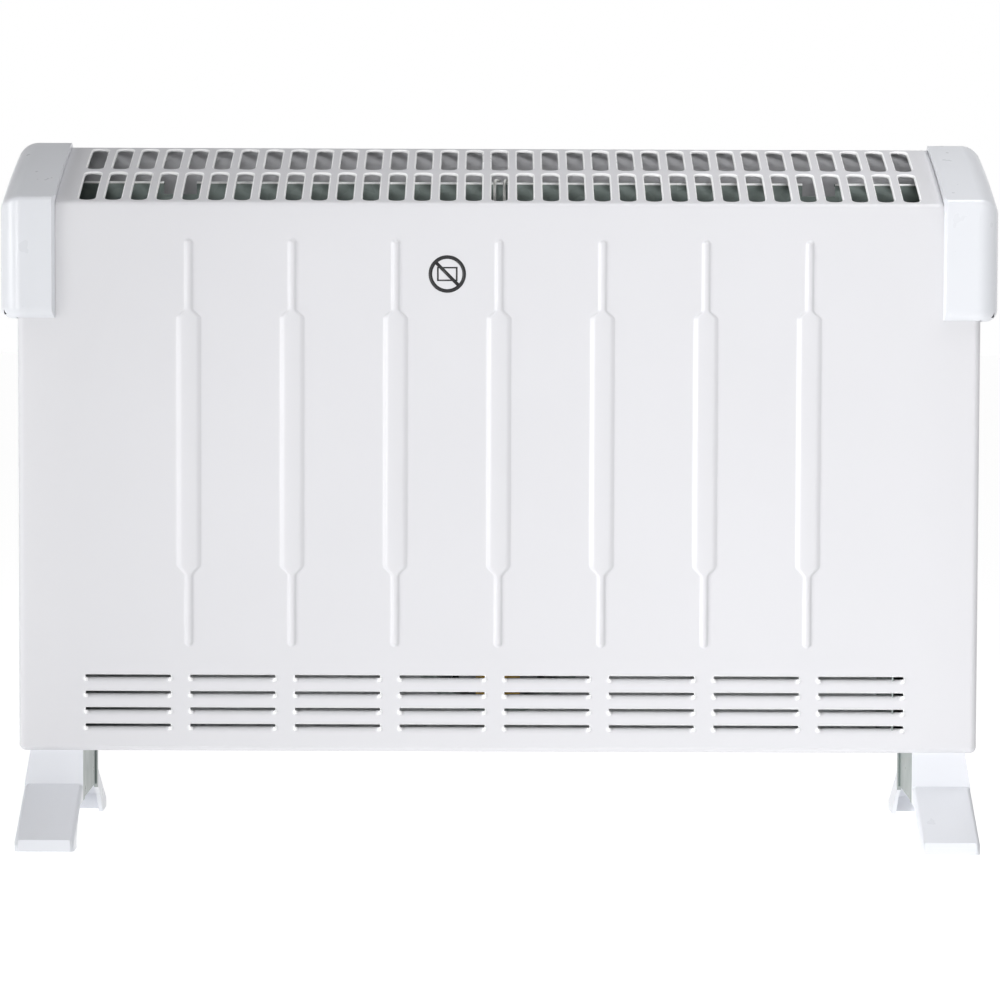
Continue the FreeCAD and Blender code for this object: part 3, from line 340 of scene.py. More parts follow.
def louvre_columns():
    """The x lines of the louvre block, and for each whether a slit spans from it to the next."""
    xs, spans = [], []
    half = LOUVRE_LENGTH / 2
    ends = [-2.4, -1.6, -0.9, -0.4, 0.0, 0.4, 0.9, 1.5, 2.2, 3.0, 4.0, 5.5]
    for column in range(LOUVRE_COUNT):
        x = louvre_x(column)
        run = [x - half + e for e in ends] + [x, *(x + half - e for e in reversed(ends))]
        xs += run
        inside = [half - abs(a - x) > -0.01 for a in run]
        spans += [a and b for a, b in zip(inside, inside[1:])] + [False]
    return [-FLAT_X] + xs + [FLAT_X], [False] + spans


def louvre_depth(x, z):
    """How far the sheet is pressed in at a point of the louvre block; its dimples stand out."""
    column = round((x - LOUVRE_SHIFT) / LOUVRE_PITCH + (LOUVRE_COUNT - 1) / 2)
    inside = LOUVRE_LENGTH / 2 - abs(x - louvre_x(column))
    depth = 0.0
    for top in LOUVRE_TOPS:
        low = top - LOUVRE_DROP
        if low - 0.01 <= z <= top - LOUVRE_GAP + 0.01 and inside >= 0:
            up = min(1, (z - low) / (LOUVRE_DROP - LOUVRE_GAP))
            depth += LOUVRE_REACH * up**3.2 * smoothstep(inside / 2.6)
        for lift, curl in LOUVRE_CURL:
            if abs(z - top - lift) < 0.01 and inside > 0:
                depth += curl * smoothstep(inside / 1.2)
        if low < z < top - 0.01:
            away = math.hypot(inside - 0.5, z - top + DIMPLE_DROP) / DIMPLE_RADIUS
            depth -= DIMPLE_HEIGHT * math.exp(-away * away)
    return depth


def louvre_block(sheet):
    """The block of pressed strips with an open slit above each."""
    xs, spans = louvre_columns()
    zs, gaps = [LOUVRE_BLOCK[0]], []
    for top in reversed(LOUVRE_TOPS):
        low = top - LOUVRE_DROP
        run = linspace(low, top - LOUVRE_GAP, 11)
        gaps.append(len(zs) + len(run) - 1)
        zs += run + [top + lift for lift, _ in LOUVRE_CURL]
    zs.append(LOUVRE_BLOCK[1])
    rows = [[(x, FRONT + louvre_depth(x, z), z) for x in xs] for z in zs]
    for r in range(len(rows) - 1):
        lip = any(z in zs[r : r + 2] for z in LOUVRE_TOPS) and r not in gaps
        for c in range(len(xs) - 1):
            if r in gaps and spans[c]:
                continue
            corners = [rows[r][c], rows[r][c + 1], rows[r + 1][c + 1], rows[r + 1][c]]
            stands_out = min(y for _, y, _ in corners) < FRONT - 0.35
            # Dimples and slit lips take the brighter white painted highlight.
            sheet.slot = RIM if stands_out or lip and spans[c] else 0
            sheet.face(corners)
    sheet.slot = 0
    return xs, zs


def flat_front(sheet, louvre_xs, louvre_zs):
    """Plain polygons that join the pressed blocks to each other and to the folds."""
    low, high = RIB_BLOCK
    half = RIB_PITCH * RIB_COUNT / 2
    rib_xs = []
    for number in range(RIB_COUNT):
        x = rib_x(number)
        rib_xs += linspace(x - RIB_PITCH / 2, x + RIB_PITCH / 2, 11)[:-1]
    rib_xs.append(half)
    rib_zs = block_heights()
    base, roof = SIDE_HEIGHTS[0], CREASE - TOP_FOLD * math.tan(TOP_FOLD_TURN / 2)

    def polygon(points):
        sheet.face([(x, FRONT, z) for x, z in points])

    block_top = LOUVRE_BLOCK[1]
    seam = [(x, low) for x in reversed(rib_xs)]
    polygon([(x, block_top) for x in louvre_xs] + [(FLAT_X, low)] + seam + [(-FLAT_X, low)])
    for sign in (-1, 1):
        polygon([(sign * FLAT_X, low), (sign * FLAT_X, high)] + [(sign * half, z) for z in reversed(rib_zs)])
        corner = sign * (HALF_WIDTH - FOLD)
        edge = [(sign * FLAT_X, z) for z in (base, *louvre_zs, low, high, roof)]
        polygon(edge + [(corner, z) for z in (roof, *reversed(SIDE_HEIGHTS))])
    polygon([(-FLAT_X, base), (FLAT_X, base)] + [(x, LOUVRE_BLOCK[0]) for x in reversed(louvre_xs)])
    polygon([(x, high) for x in [-FLAT_X] + rib_xs + [FLAT_X]] + [(FLAT_X, roof), (-FLAT_X, roof)])
    return roof


def crease(sheet, roof):
    """The fold between front and top, and the plain strip up to the first row of cells."""
    xs = (-HALF_WIDTH + FOLD, -FLAT_X, FLAT_X, HALF_WIDTH - FOLD)
    centre_y, centre_z = FRONT + TOP_FOLD, roof
    rows = []
    for n in range(10):
        turn = TOP_FOLD_TURN * n / 9
        y, z = centre_y - TOP_FOLD * math.cos(turn), centre_z + TOP_FOLD * math.sin(turn)
        rows.append([(x, y, z) for x in xs])
    sheet.grid(rows)
    first = SLOT_ROWS[0][0]
    edge = cell_edge_x()
    front = rows[-1]
    back = [top_point(x, first) for x in [-HALF_WIDTH + 1] + edge + [HALF_WIDTH - 1]]
    sheet.face(front + list(reversed(back)))


def top_flanks(sheet):
    """Plain sheet beside and behind the slots."""
    edge = slot_x(SLOT_COUNT - 1) + SLOT_PITCH / 2
    for sign in (-1, 1):
        for row in (0, 1):
            ys = top_lines(row)
            sheet.grid([[top_point(sign * x, y) for y in ys] for x in (edge, HALF_WIDTH - 1)])
    last = SLOT_ROWS[1][3]
    xs = [-HALF_WIDTH + 1] + cell_edge_x() + [HALF_WIDTH - 1]
    sheet.grid([[top_point(x, last) for x in xs], [top_point(x, BACK) for x in xs]])


def corner_points(z, inset):
    """The case's outline at a height: right side, round the front, left side."""
    points = [(HALF_WIDTH - inset, y, z) for y in SIDE_LINES[:-1]]
    radius = FOLD - inset
    for n in range(9):
        turn = math.pi / 2 * n / 8
        x = HALF_WIDTH - FOLD + radius * math.cos(turn)
        points.append((x, FRONT + FOLD - radius * math.sin(turn), z))
    points.append((FLAT_X, FRONT + inset, z))
    return points + [(-x, y, pz) for x, y, pz in reversed(points)]


def walls(sheet, roof):
    """Sides, vertical folds, the rounded lower edge and the rim underneath."""
    rows = [corner_points(z, 0) for z in SIDE_HEIGHTS]
    count = len(rows[0])

    def skip(row, column):
        """True at the control opening in the right side, and across the front, which has its own polygons."""
        return (row == 1 and column == 1) or min(column, count - 2 - column) >= 11

    sheet.grid(rows, skip=skip)
    above = [corner_points(z, 0)[3:12] for z in (SIDE_HEIGHTS[-1], roof)]
    sheet.grid(above)
    sheet.grid([[(-x, y, z) for x, y, z in row] for row in above])
    radius = SIDE_HEIGHTS[0] - BOTTOM
    fold = []
    for n in range(8):
        turn = math.pi / 2 * n / 7
        fold.append(corner_points(BOTTOM + radius * (1 - math.sin(turn)), radius * (1 - math.cos(turn))))
    sheet.grid(fold)
    inner = HALF_WIDTH - 42
    rim = [(-inner, BACK), (-inner, FRONT + 15), (inner, FRONT + 15), (inner, BACK)]
    sheet.face(fold[-1] + [(x, y, BOTTOM) for x, y in rim])


def case():
    """The case's front sheet with its folds, slots, ribs and louvres, given its thickness."""
    sheet = Sheet()
    for number in range(SLOT_COUNT):
        for y0, low, high, y1 in SLOT_ROWS:
            slot_cell(sheet, slot_x(number), y0, low, high, y1)
    for number in range(RIB_COUNT):
        rib_cell(sheet, rib_x(number))
    xs, zs = louvre_block(sheet)
    roof = flat_front(sheet, xs, zs)
    crease(sheet, roof)
    top_flanks(sheet)
    walls(sheet, roof)
    piece = sheet.make("case_sheet", 50)
    # The solidified inner faces take the next slot, a grey-green painted shade.
    thicken(piece, "thickness", SHEET, -1).material_offset = 1
    return piece


# ---- materials ----------------------------------------------------------------------------------------

# Where the grey-green painted shade on a foot's inner side ends, in metres from the middle: across and in
# depth.
FOOT_SHADE_ACROSS, FOOT_SHADE_DEEP = 0.281, 0.0448


class Finish:
    """A node material built up on one Principled shader."""

    def __init__(self, name, color, roughness, metallic=0.0, **sockets):
        self.material = bpy.data.materials.new(name)
        self.material.use_nodes = True
        self.nodes = self.material.node_tree.nodes
        self.links = self.material.node_tree.links
        self.shader = self.nodes["Principled BSDF"]
        self.shader.inputs["Base Color"].default_value = (*color, 1)
        self.shader.inputs["Roughness"].default_value = roughness
        self.shader.inputs["Metallic"].default_value = metallic
        for socket, value in sockets.items():
            self.shader.inputs[socket.replace("_", " ")].default_value = value
        self.color = color
        self.coords = self.nodes.new("ShaderNodeTexCoord").outputs["Object"]
        self.normal = None

    def noise(self, scale, detail=2.0, stretch=(1, 1, 1)):
        source = self.coords
        if stretch != (1, 1, 1):
            mapping = self.nodes.new("ShaderNodeMapping")
            mapping.inputs["Scale"].default_value = stretch
            self.links.new(source, mapping.inputs["Vector"])
            source = mapping.outputs["Vector"]
        noise = self.nodes.new("ShaderNodeTexNoise")
        noise.inputs["Scale"].default_value = scale
        noise.inputs["Detail"].default_value = detail
        self.links.new(source, noise.inputs["Vector"])
        return noise.outputs["Fac"]

    def cells(self, scale):
        cells = self.nodes.new("ShaderNodeTexVoronoi")
        cells.inputs["Scale"].default_value = scale
        self.links.new(self.coords, cells.inputs["Vector"])
        return cells.outputs["Color"]

    def remap(self, value, low, high, start=0.3, end=0.7):
        spread = self.nodes.new("ShaderNodeMapRange")
        spread.inputs["From Min"].default_value = start
        spread.inputs["From Max"].default_value = end
        spread.inputs["To Min"].default_value = low
        spread.inputs["To Max"].default_value = high
        self.links.new(value, spread.inputs["Value"])
        return spread.outputs["Result"]

    def vary_color(self, value, low, high, start=0.3, end=0.7):
        """Blends the base colour between two tints of itself."""
        mix = self.nodes.new("ShaderNodeMix")
        mix.data_type = "RGBA"
        mix.inputs["A"].default_value = (*[c * low for c in self.color], 1)
        mix.inputs["B"].default_value = (*[min(1, c * high) for c in self.color], 1)
        self.links.new(self.remap(value, 0, 1, start, end), mix.inputs["Factor"])
        self.links.new(mix.outputs["Result"], self.shader.inputs["Base Color"])
        return self

    def vary_roughness(self, value, low, high):
        self.links.new(self.remap(value, low, high), self.shader.inputs["Roughness"])
        return self

    def bump(self, value, strength, distance):
        bump = self.nodes.new("ShaderNodeBump")
        bump.inputs["Strength"].default_value = strength
        bump.inputs["Distance"].default_value = distance
        self.links.new(value, bump.inputs["Height"])
        if self.normal:
            self.links.new(self.normal, bump.inputs["Normal"])
        self.normal = bump.outputs["Normal"]
        self.links.new(self.normal, self.shader.inputs["Normal"])
        return self


def powder_coat(name, color, roughness=0.38):
    finish = Finish(name, color, roughness)
    finish.vary_color(finish.noise(6, 3), 0.985, 1.01)
    finish.vary_roughness(finish.noise(35, 3), roughness - 0.03, roughness + 0.04)
    finish.bump(finish.noise(420, 2), 0.06, 0.0004)
    return finish.bump(finish.noise(1500, 1), 0.05, 0.0001).material


def moulding(name, color, roughness=0.3, grain=0.05):
    finish = Finish(name, color, roughness)
    finish.vary_color(finish.noise(9, 3), 0.985, 1.01)
    finish.vary_roughness(finish.noise(60, 3), roughness - 0.03, roughness + 0.05)
    return finish.bump(finish.noise(650, 2), grain, 0.0002).material


def foot_moulding_painted_shade(name, color, inside):
    """White outside, and grey-green painted shade on the walls that face the middle of the heater and the
    hollow.
    """
    finish = Finish(name, color, 0.3)
    finish.vary_roughness(finish.noise(60, 3), 0.27, 0.36)
    finish.bump(finish.noise(650, 2), 0.05, 0.0002)
    split = finish.nodes.new("ShaderNodeSeparateXYZ")
    finish.links.new(finish.coords, split.inputs["Vector"])

    def beyond(axis, limit):
        """1 where the distance from the middle along an axis is over the limit."""
        size = finish.nodes.new("ShaderNodeMath")
        size.operation = "ABSOLUTE"
        finish.links.new(split.outputs[axis], size.inputs[0])
        return finish.remap(size.outputs["Value"], 0, 1, limit, limit + 0.0004)

    # Mask: 1 on the white outside, 0 on the inner walls and hollow, which take the grey-green painted shade.
    outside = finish.nodes.new("ShaderNodeMath")
    outside.operation = "MAXIMUM"
    finish.links.new(beyond("X", FOOT_SHADE_ACROSS), outside.inputs[0])
    finish.links.new(beyond("Y", FOOT_SHADE_DEEP), outside.inputs[1])
    tint = finish.nodes.new("ShaderNodeMix")
    tint.data_type = "RGBA"
    tint.inputs["A"].default_value = (*inside, 1)
    tint.inputs["B"].default_value = (*color, 1)
    finish.links.new(outside.outputs["Value"], tint.inputs["Factor"])
    finish.links.new(tint.outputs["Result"], finish.shader.inputs["Base Color"])
    return finish.material


def galvanised(name, color, roughness=0.42, metallic=0.85):
    finish = Finish(name, color, roughness, metallic)
    finish.vary_color(finish.cells(140), 0.86, 1.1, 0.1, 0.9)
    finish.vary_roughness(finish.noise(160, 3), roughness - 0.08, roughness + 0.12)
    return finish.bump(finish.noise(300, 3), 0.05, 0.0002).material


def drawn_metal(name, color, roughness=0.3, stretch=(1, 1, 1)):
    finish = Finish(name, color, roughness, metallic=1.0)
    finish.vary_color(finish.noise(220, 3, stretch), 0.88, 1.08)
    finish.vary_roughness(finish.noise(400, 3, stretch), roughness - 0.08, roughness + 0.12)
    return finish.bump(finish.noise(900, 2, stretch), 0.05, 0.0001).material


def lens(name, color):
    finish = Finish(name, color, 0.12, Transmission_Weight=0.7, IOR=1.49)
    finish.vary_color(finish.noise(300, 2), 0.9, 1.05)
    return finish.bump(finish.noise(500, 2), 0.04, 0.0001).material


FINISHES = {
    "case_white": powder_coat("case_white_coat", (0.665, 0.665, 0.69)),
    "moulding_white": moulding("moulding_white_gloss", (0.705, 0.72, 0.755), 0.3),
    "panel_grey": moulding("panel_grey_texture", (0.52, 0.54, 0.56), 0.5, 0.12),
    "knob_white": moulding("knob_white_satin", (0.76, 0.77, 0.78), 0.3),
    "rocker_black": moulding("rocker_black_satin", (0.02, 0.02, 0.022), 0.28),
    "switch_black": moulding("switch_black_matt", (0.025, 0.025, 0.027), 0.5, 0.12),
    "lamp_amber": lens("lamp_amber_lens", (0.9, 0.33, 0.05)),
    "galvanised": galvanised("galvanised_sheet", (0.42, 0.47, 0.46)),
    "screw_zinc": drawn_metal("screw_zinc_plate", (0.62, 0.62, 0.59)),
    "rod_steel": drawn_metal("rod_bright_steel", (0.5, 0.5, 0.5), 0.3, (0.1, 1, 1)),
    "mica": moulding("mica_board", (0.5, 0.42, 0.28), 0.5, 0.2),
    "heating_wire": drawn_metal("heating_wire_oxide", (0.28, 0.26, 0.25), 0.45),
    "ceramic": moulding("ceramic_bush", (0.78, 0.74, 0.66), 0.55, 0.1),
    "bakelite": moulding("bakelite_case", (0.035, 0.026, 0.022), 0.4, 0.08),
    "wire_white": moulding("wire_white_sleeve", (0.72, 0.72, 0.70), 0.4, 0.05),
    "wire_black": moulding("wire_black_sleeve", (0.02, 0.02, 0.02), 0.4, 0.05),
    "fan_plastic": moulding("fan_black_nylon", (0.03, 0.03, 0.032), 0.42, 0.08),
    "core_steel": drawn_metal("core_laminations", (0.33, 0.34, 0.36), 0.45, (0.05, 8, 0.05)),
    "coil_tape": moulding("coil_tape_amber", (0.55, 0.33, 0.06), 0.35, 0.15),
    "bridge_alloy": drawn_metal("bridge_die_cast", (0.66, 0.67, 0.68), 0.42),
    "bearing_bronze": drawn_metal("bearing_sintered", (0.5, 0.34, 0.16), 0.45),
    "gland_white": moulding("gland_white_nylon", (0.74, 0.75, 0.76), 0.45),
}
# A brighter copy of the case's white coat, as a painted highlight on rims, lips and dimples.
RIM_PAINTED_HIGHLIGHT = powder_coat("rim_painted_highlight_coat", (0.92, 0.92, 0.93), 0.3)
# Grey-green painted shade on the inner faces of the case sheet.
CASE_INSIDE_PAINTED_SHADE = galvanised("case_inside_painted_shade", (0.36, 0.41, 0.395), 0.6, 0.2)
# Two copies of the shield's sheet: a near-white hem as a painted highlight and a dark grey-green face as
# painted shade.
SHIELD_HEM_PAINTED_HIGHLIGHT = galvanised("shield_hem_painted_highlight", (0.97, 0.97, 0.97), 0.4, 0.0)
SHIELD_FACE_PAINTED_SHADE = galvanised("shield_face_painted_shade", (0.24, 0.285, 0.27), 0.6, 0.3)
# The feet: white moulding with grey-green painted shade on their inner walls and hollow.
FOOT_WHITE_PAINTED_SHADE = foot_moulding_painted_shade("foot_white_painted_shade", (0.73, 0.745, 0.785), (0.19, 0.23, 0.22))
PRINT_GREY = moulding("print_ink_grey", (0.09, 0.095, 0.10), 0.5, 0.05)
PRINT_BLACK = moulding("print_ink_black", (0.012, 0.012, 0.014), 0.45, 0.05)


EDGES = {
    "thermostat_knob": 0.35, "thermostat_spindle": 0.3, "thermostat_body": 0.8,
    "switch_body_heat_low": 0.45, "switch_body_heat_high": 0.45, "switch_body_fan": 0.45,
    "rocker_heat_low": 0.5, "rocker_heat_high": 0.5, "rocker_fan": 0.5, "pilot_lamp_lens": 0.6,
    "rear_panel_tabs": 0.25, "shield_arms": 0.2, "thermal_cutout": 0.8, "fan_impeller": 0.3,
    "motor_stator": 0.35, "motor_coil": 1.2, "motor_bridge_front": 0.5, "motor_bridge_rear": 0.5,
    "motor_shaft": 0.3, "motor_strap": 0.3, "fan_shroud": 0.3, "cable_gland": 0.7, "terminal_block": 0.6,
    "element_terminals": 0.4, "mica_cards": 0.2,
}


FEET = ("foot_right", "foot_left")
RESHADED = (*FEET, "end_cap_right", "end_cap_left")


def reshade(node):
    """Evens out the shading of a CAD node with modifiers, its own mesh untouched."""
    weld = node.modifiers.new("weld", "WELD")
    weld.merge_threshold = 0.02 * MM
    shading = node.modifiers.new("shading", "WEIGHTED_NORMAL")
    shading.keep_sharp = True


def soften(node, width):
    """Rounds the sharp edges of a CAD node with modifiers, its own mesh untouched."""
    weld = node.modifiers.new("weld", "WELD")
    weld.merge_threshold = 0.01 * MM
    flat = node.modifiers.new("flat_faces", "DECIMATE")
    flat.decimate_type = "DISSOLVE"
    flat.angle_limit = math.radians(0.5)
    rounded = node.modifiers.new("rounded_edges", "BEVEL")
    rounded.width = width * MM
    rounded.segments = 3
    rounded.limit_method = "ANGLE"
    rounded.angle_limit = math.radians(38)
    rounded.miter_outer = "MITER_ARC"
    shading = node.modifiers.new("shading", "WEIGHTED_NORMAL")
    shading.keep_sharp = True


def dress_nodes():
    """Every CAD node takes the finish of its material slot; the feet instead take the white moulding with
    grey-green painted shade on their inner walls.
    """
    for part in frame["record"]["subparts"]:
        node = frame["nodes"][part["node"]]
        finish = FOOT_WHITE_PAINTED_SHADE if part["node"] in FEET else FINISHES[part["material_slot"]]
        node.data.materials.clear()
        node.data.materials.append(finish)
        if part["node"] in EDGES:
            soften(node, EDGES[part["node"]])
        if part["node"] in RESHADED:
            reshade(node)


def place(piece, body, slot, *nodes):
    piece.data.materials.append(FINISHES[slot])
    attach(piece, body)
    if nodes:
        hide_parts(*nodes)
    return piece


# ---- shield with its hem ------------------------------------------------------------------------------

SHIELD_FRONT, SHIELD_FOOT, SHIELD_TOP, SHIELD_HALF = -3.0, 190.0, 398.3, 262.0
SHIELD_CUT_X, SHIELD_CUT_TOP = 241.0, 262.0
HEM_RADIUS, HEM_DEPTH = 1.3, 7.0
NOTCH_X, NOTCH_HALF, NOTCH_FOOT = 195.0, 10.0, 390.5


def shield():
    """The upright baffle: a rolled hem along its top edge, a narrow ledge behind it and two notches."""
    sheet = Sheet()
    hem = []
    for n in range(8):
        turn = math.pi / 2 * n / 7
        back, drop = HEM_RADIUS * (1 - math.cos(turn)), HEM_RADIUS * (1 - math.sin(turn))
        hem.append((SHIELD_FRONT + back, SHIELD_TOP - drop))
    hem += [(SHIELD_FRONT + HEM_DEPTH, SHIELD_TOP - 0.2), (SHIELD_FRONT + HEM_DEPTH + 0.8, SHIELD_TOP - 1.4)]

    def column(x):
        foot = SHIELD_CUT_TOP if x >= SHIELD_CUT_X - 0.01 else SHIELD_FOOT
        stations = linspace(foot, NOTCH_FOOT, 6) + [SHIELD_TOP - HEM_RADIUS - 1]
        return [(x, SHIELD_FRONT, z) for z in stations] + [(x, y, z) for y, z in hem]

    notches = [sign * (NOTCH_X + side * NOTCH_HALF) for sign in (-1, 1) for side in (-1, 1)]
    plain = [-215.0, -120.0, -40.0, 40.0, 120.0, 215.0]
    xs = sorted([-SHIELD_HALF, SHIELD_CUT_X, SHIELD_HALF] + plain + notches)
    for a, b in zip(xs, xs[1:]):
        inside = abs(abs((a + b) / 2) - NOTCH_X) < NOTCH_HALF
        rows = [column(a), column(b)]
        if inside:
            rows = [row[:6] for row in rows]
        sheet.grid(rows)
    piece = sheet.make("shield_sheet", 35)
    thicken(piece, "thickness", SHEET, -1)
    for finish in (SHIELD_FACE_PAINTED_SHADE, SHIELD_HEM_PAINTED_HIGHLIGHT):
        piece.data.materials.append(finish)
    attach(piece, ROOT)
    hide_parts("heat_shield")
    # Polygons of the rolled hem take the near-white painted highlight; the rest of the sheet keeps the dark
    # painted shade.
    for polygon in piece.data.polygons:
        high = polygon.center.z > (SHIELD_TOP - HEM_RADIUS - 0.1) * MM
        if high and polygon.center.y < (SHIELD_FRONT + HEM_RADIUS) * MM:
            polygon.material_index = 1
    return piece


# ---- heating coils ------------------------------------------------------------------------------------

COIL_X, COIL_TURN_X, COIL_RUNS, COIL_PITCH = 208.0, 203.0, (229.0, 245.0, 261.0, 277.0), 2.6
COIL_RADIUS, WIRE_RADIUS = 2.6, 0.42
PATH_STEP = 0.5


def run_path():
    """Centre line of one coil, to and fro through the cards, as points half a millimetre apart."""
    points = []
    for number, z in enumerate(COIL_RUNS):
        right = COIL_X if number in (0, 3) else COIL_X - 21
        if number in (1, 2):
            start, stop = (-COIL_TURN_X, right) if number == 1 else (right, -COIL_TURN_X)
        else:
            start, stop = (right, -COIL_TURN_X) if number == 0 else (-COIL_TURN_X, right)
        count = int(abs(stop - start) / PATH_STEP)
        points += [(start + (stop - start) * n / count, z) for n in range(count + 1)]
        if number < 3:
            bend = (COIL_RUNS[number + 1] - z) / 2
            side = math.copysign(1, stop)
            arc = int(math.pi * bend / PATH_STEP)
            for n in range(1, arc):
                turn = -math.pi / 2 + math.pi * n / arc
                points.append((stop + side * bend * math.cos(turn), z + bend + bend * math.sin(turn)))
    return points


def coil(name, node, y):
    """A wound resistance wire that follows the coil's path."""
    path = run_path()
    curve = bpy.data.curves.new(name, "CURVE")
    curve.dimensions = "3D"
    curve.bevel_depth = WIRE_RADIUS * MM
    curve.bevel_resolution = 1
    curve.use_fill_caps = True
    spline = curve.splines.new("POLY")
    points = []
    for n, (x, z) in enumerate(path):
        before, after = path[max(0, n - 1)], path[min(len(path) - 1, n + 1)]
        along = Vector((after[0] - before[0], 0, after[1] - before[1])).normalized()
        across = Vector((-along.z, 0, along.x))
        turn = 2 * math.pi * n * PATH_STEP / COIL_PITCH
        swing = across * COIL_RADIUS * math.cos(turn) + Vector((0, COIL_RADIUS * math.sin(turn), 0))
        points.append(Vector((x, y, z)) + swing)
    spline.points.add(len(points) - 1)
    for spot, point in zip(spline.points, points):
        spot.co = (*(point * MM), 1)
    drawn = bpy.data.objects.new(name + "_curve", curve)
    bpy.context.scene.collection.objects.link(drawn)
    mesh = bpy.data.meshes.new_from_object(drawn.evaluated_get(bpy.context.evaluated_depsgraph_get()))
    bpy.data.objects.remove(drawn)
    mesh.materials.clear()
    piece = bpy.data.objects.new(name, mesh)
    bpy.context.scene.collection.objects.link(piece)
    smooth(piece, 60)
    return place(piece, ROOT, "heating_wire", node)


# ---- marks printed on the control panel ---------------------------------------------------------------

PANEL_FLOOR, DIAL_Z, SWITCH_Z, SWITCH_PITCH_Y = 268.0, 240.0, 168.0, 19.0
DIAL_HEIGHT = 17.0
ROCKER_HINGE_X, ROCKER_TILT = 266.0, math.radians(-9)
ROCKER_DIP, ROCKER_LIFT, ROCKER_REACH = 5.2, 6.8, 7.4


def panel_marks():
    """A rising scale round the dial and one, two and wavy bars over the switches."""
    sheet = Sheet()
    x = PANEL_FLOOR + 0.08

    def bar(y, z, half_y, half_z, turn=0.0):
        corners = [(-half_y, -half_z), (half_y, -half_z), (half_y, half_z), (-half_y, half_z)]
        c, s = math.cos(turn), math.sin(turn)
        sheet.face([(x, y + a * c - b * s, z + a * s + b * c) for a, b in corners])

    for n in range(11):
        turn = math.radians(-135 + 27 * n)
        length = 0.9 + 0.16 * n
        radius = 22.4 + length
        bar(radius * math.sin(turn), DIAL_Z + radius * math.cos(turn), 0.45, length, -turn)
    for spot, count in ((-1, 1), (0, 2), (1, 3)):
        for n in range(count):
            y = spot * SWITCH_PITCH_Y + (n - (count - 1) / 2) * 2.6
            bar(y, SWITCH_Z + 16, 0.55, 2.2, 0.35 if count == 3 else 0.0)
    piece = sheet.make("panel_marks")
    thicken(piece, "ink", 0.06)
    piece.data.materials.append(PRINT_GREY)
    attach(piece, ROOT)


def dial_mark():
    """The pointer line on the face of the dial."""
    sheet = Sheet()
    face = PANEL_FLOOR + DIAL_HEIGHT + 0.06
    rows = [[(face, -0.6, DIAL_Z + z), (face, 0.6, DIAL_Z + z)] for z in (5.0, 9.0, 12.6)]
    sheet.grid(rows)
    piece = sheet.make("dial_pointer")
    thicken(piece, "ink", 0.08)
    piece.data.materials.append(PRINT_GREY)
    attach(piece, "dial")


def rocker_mark(name, body, y):
    """A raised bar and ring on the rocker's two ends."""
    sheet = Sheet()
    cosine, sine = math.cos(ROCKER_TILT), math.sin(ROCKER_TILT)

    def lifted(local_x, local_y, local_z):
        turned_x = local_x * cosine + local_z * sine
        turned_z = -local_x * sine + local_z * cosine
        return ROCKER_HINGE_X + turned_x, y + local_y, SWITCH_Z + turned_z

    def surface(z):
        """How far the ink stands from the hinge at a height: the rocker's face rises to both ends."""
        return ROCKER_DIP + (ROCKER_LIFT - ROCKER_DIP) * abs(z) / ROCKER_REACH + 0.05

    sheet.face([lifted(surface(z), a, z) for a, z in ((-0.35, 2.8), (0.35, 2.8), (0.35, 5.4), (-0.35, 5.4))])
    outer = [(1.35 * math.cos(t), 1.35 * math.sin(t)) for t in linspace(0, 2 * math.pi, 25)]
    rows = [[lifted(surface(-4 + b * k), a * k, -4 + b * k) for a, b in outer] for k in (1.0, 0.62)]
    sheet.grid(rows)
    piece = sheet.make(name)
    thicken(piece, "ink", 0.08)
    piece.data.materials.append(FINISHES["wire_white"])
    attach(piece, body)


# ---- printed mark -------------------------------------------------------------------------------------


def mark():
    """A plain round mark on the front: a ring, an outlined block and a bar across them."""
    sheet = Sheet()
    cx, cz, lift = -31.2, 342.6, 0.06
    y = FRONT - lift

    def band(outer, inner, count):
        rows = []
        for scale in (outer, inner):
            rows.append([(cx + scale[n % count][0], y, cz + scale[n % count][1]) for n in range(count)])
        sheet.grid(rows, closed=True)

    def ring(radius, count=64):
        turns = [2 * math.pi * n / count for n in range(count)]
        return [(radius * math.cos(turn), radius * math.sin(turn)) for turn in turns]

    def block(half_x, half_z):
        return [(-half_x, -half_z), (half_x, -half_z), (half_x, half_z), (-half_x, half_z)]

    band(ring(11.25), ring(9.05), 64)
    band(block(6.15, 4.25), block(5.15, 3.35), 4)
    turn = math.radians(-45)
    along, across = (math.cos(turn), math.sin(turn)), (-math.sin(turn), math.cos(turn))
    bar = [(a * along[0] + b * across[0], a * along[1] + b * across[1]) for a, b in block(9.4, 1)]
    sheet.face([(cx + px, y - 0.01, cz + pz) for px, pz in bar])
    piece = sheet.make("front_mark")
    thicken(piece, "ink", 0.05)
    piece.data.materials.append(PRINT_BLACK)
    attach(piece, ROOT)


# ---- studio -------------------------------------------------------------------------------------------


def floor():
    mesh = bpy.data.meshes.new("floor")
    reach = 12
    corners = [(-reach, -reach, 0), (reach, -reach, 0), (reach, reach, 0), (-reach, reach, 0)]
    mesh.from_pydata(corners, [], [(0, 1, 2, 3)])
    piece = bpy.data.objects.new("floor", mesh)
    bpy.context.scene.collection.objects.link(piece)
    finish = Finish("floor_white", (0.3, 0.3, 0.3), 0.8, Emission_Color=(1, 1, 1, 1), Emission_Strength=0.9)
    piece.data.materials.append(finish.material)


def area(name, where, target, width, height, power, spread=180):
    data = bpy.data.lights.new(name, "AREA")
    data.shape = "RECTANGLE"
    data.size, data.size_y = width, height
    data.energy = power
    data.spread = math.radians(spread)
    lamp = bpy.data.objects.new(name, data)
    bpy.context.scene.collection.objects.link(lamp)
    lamp.visible_camera = False
    lamp.location = where
    lamp.rotation_euler = (Vector(target) - Vector(where)).to_track_quat("-Z", "Y").to_euler()


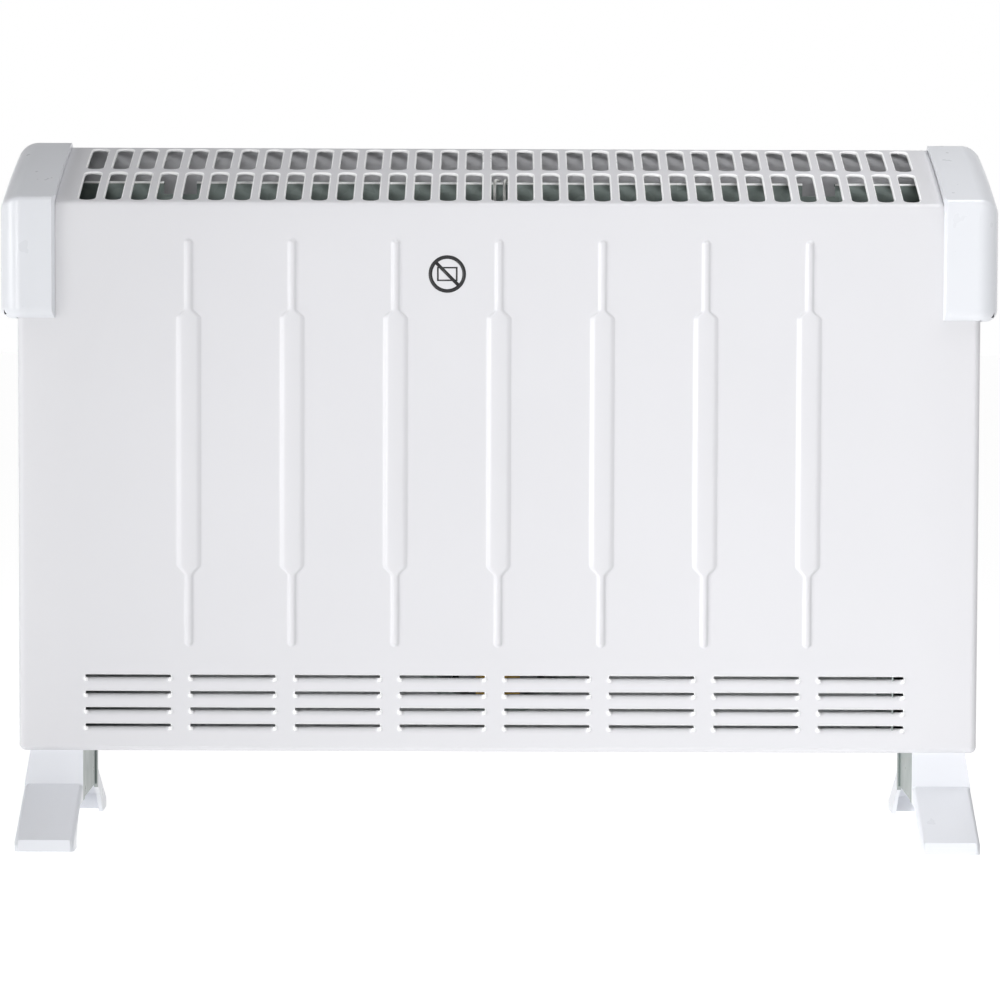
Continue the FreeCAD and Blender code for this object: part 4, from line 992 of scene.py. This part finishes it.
def world():
    """A white backdrop behind the heater, a dimmer room in front and overhead."""
    scene = bpy.context.scene
    scene.world = bpy.data.worlds.new("studio")
    scene.world.use_nodes = True
    nodes, links = scene.world.node_tree.nodes, scene.world.node_tree.links
    background = nodes["Background"]
    coords = nodes.new("ShaderNodeTexCoord")
    split = nodes.new("ShaderNodeSeparateXYZ")
    links.new(coords.outputs["Generated"], split.inputs["Vector"])

    def ramp(value, start, end, low, high):
        node = nodes.new("ShaderNodeMapRange")
        node.inputs["From Min"].default_value = start
        node.inputs["From Max"].default_value = end
        node.inputs["To Min"].default_value = low
        node.inputs["To Max"].default_value = high
        links.new(value, node.inputs["Value"])
        return node.outputs["Result"]

    both = nodes.new("ShaderNodeMath")
    both.operation = "MULTIPLY"
    links.new(ramp(split.outputs["Z"], 0.09, 0.32, 1.0, 0.22), both.inputs[0])
    links.new(ramp(split.outputs["Y"], -0.25, 0.5, 0.42, 1.0), both.inputs[1])
    links.new(both.outputs["Value"], background.inputs["Strength"])
    background.inputs["Color"].default_value = (1, 1, 1, 1)


def camera():
    data = bpy.data.cameras.new("camera")
    data.sensor_width = 36
    data.lens = 144.65
    eye = bpy.data.objects.new("camera", data)
    bpy.context.scene.collection.objects.link(eye)
    eye.location = (0.0004, -2.465, 0.3537)
    eye.rotation_euler = (math.radians(90 - 3.48), math.radians(-0.2), 0)
    bpy.context.scene.camera = eye


def studio():
    """Floor, room, camera and lamps; the sweep lamp brightens the front towards its right end."""
    bpy.context.scene.view_settings.view_transform = "Standard"
    floor()
    world()
    area("left", (-3.0, -1.6, 0.6), (0, 0, 0.25), 1.2, 1.2, 34)
    area("sweep", (-1.2, -2.2, 0.25), (0.6, 0, 0.1), 0.3, 0.3, 2.3, 42)
    area("over_right", (0.5, -0.1, 1.1), (0.1, 0, 0.4), 0.4, 0.4, 3.6)
    area("overhead", (0, -0.7, 2.0), (0, 0, 0.3), 0.8, 0.8, 8)
    camera()


# ---- everything ---------------------------------------------------------------------------------------

dress_nodes()
case_sheet = place(case(), ROOT, "case_white", "front_panel")
# The case sheet's extra slots: grey-green painted shade on the inner faces and a brighter white painted
# highlight on rims, lips and dimples.
for extra in (CASE_INSIDE_PAINTED_SHADE, RIM_PAINTED_HIGHLIGHT, CASE_INSIDE_PAINTED_SHADE):
    case_sheet.data.materials.append(extra)
shield()
coil("heating_wire_low", "heating_coil_low", 14)
coil("heating_wire_high", "heating_coil_high", 32)
panel_marks()
dial_mark()
rocker_mark("rocker_mark_low", "rocker_low", -SWITCH_PITCH_Y)
rocker_mark("rocker_mark_high", "rocker_high", 0)
rocker_mark("rocker_mark_fan", "rocker_blower", SWITCH_PITCH_Y)
mark()
studio()
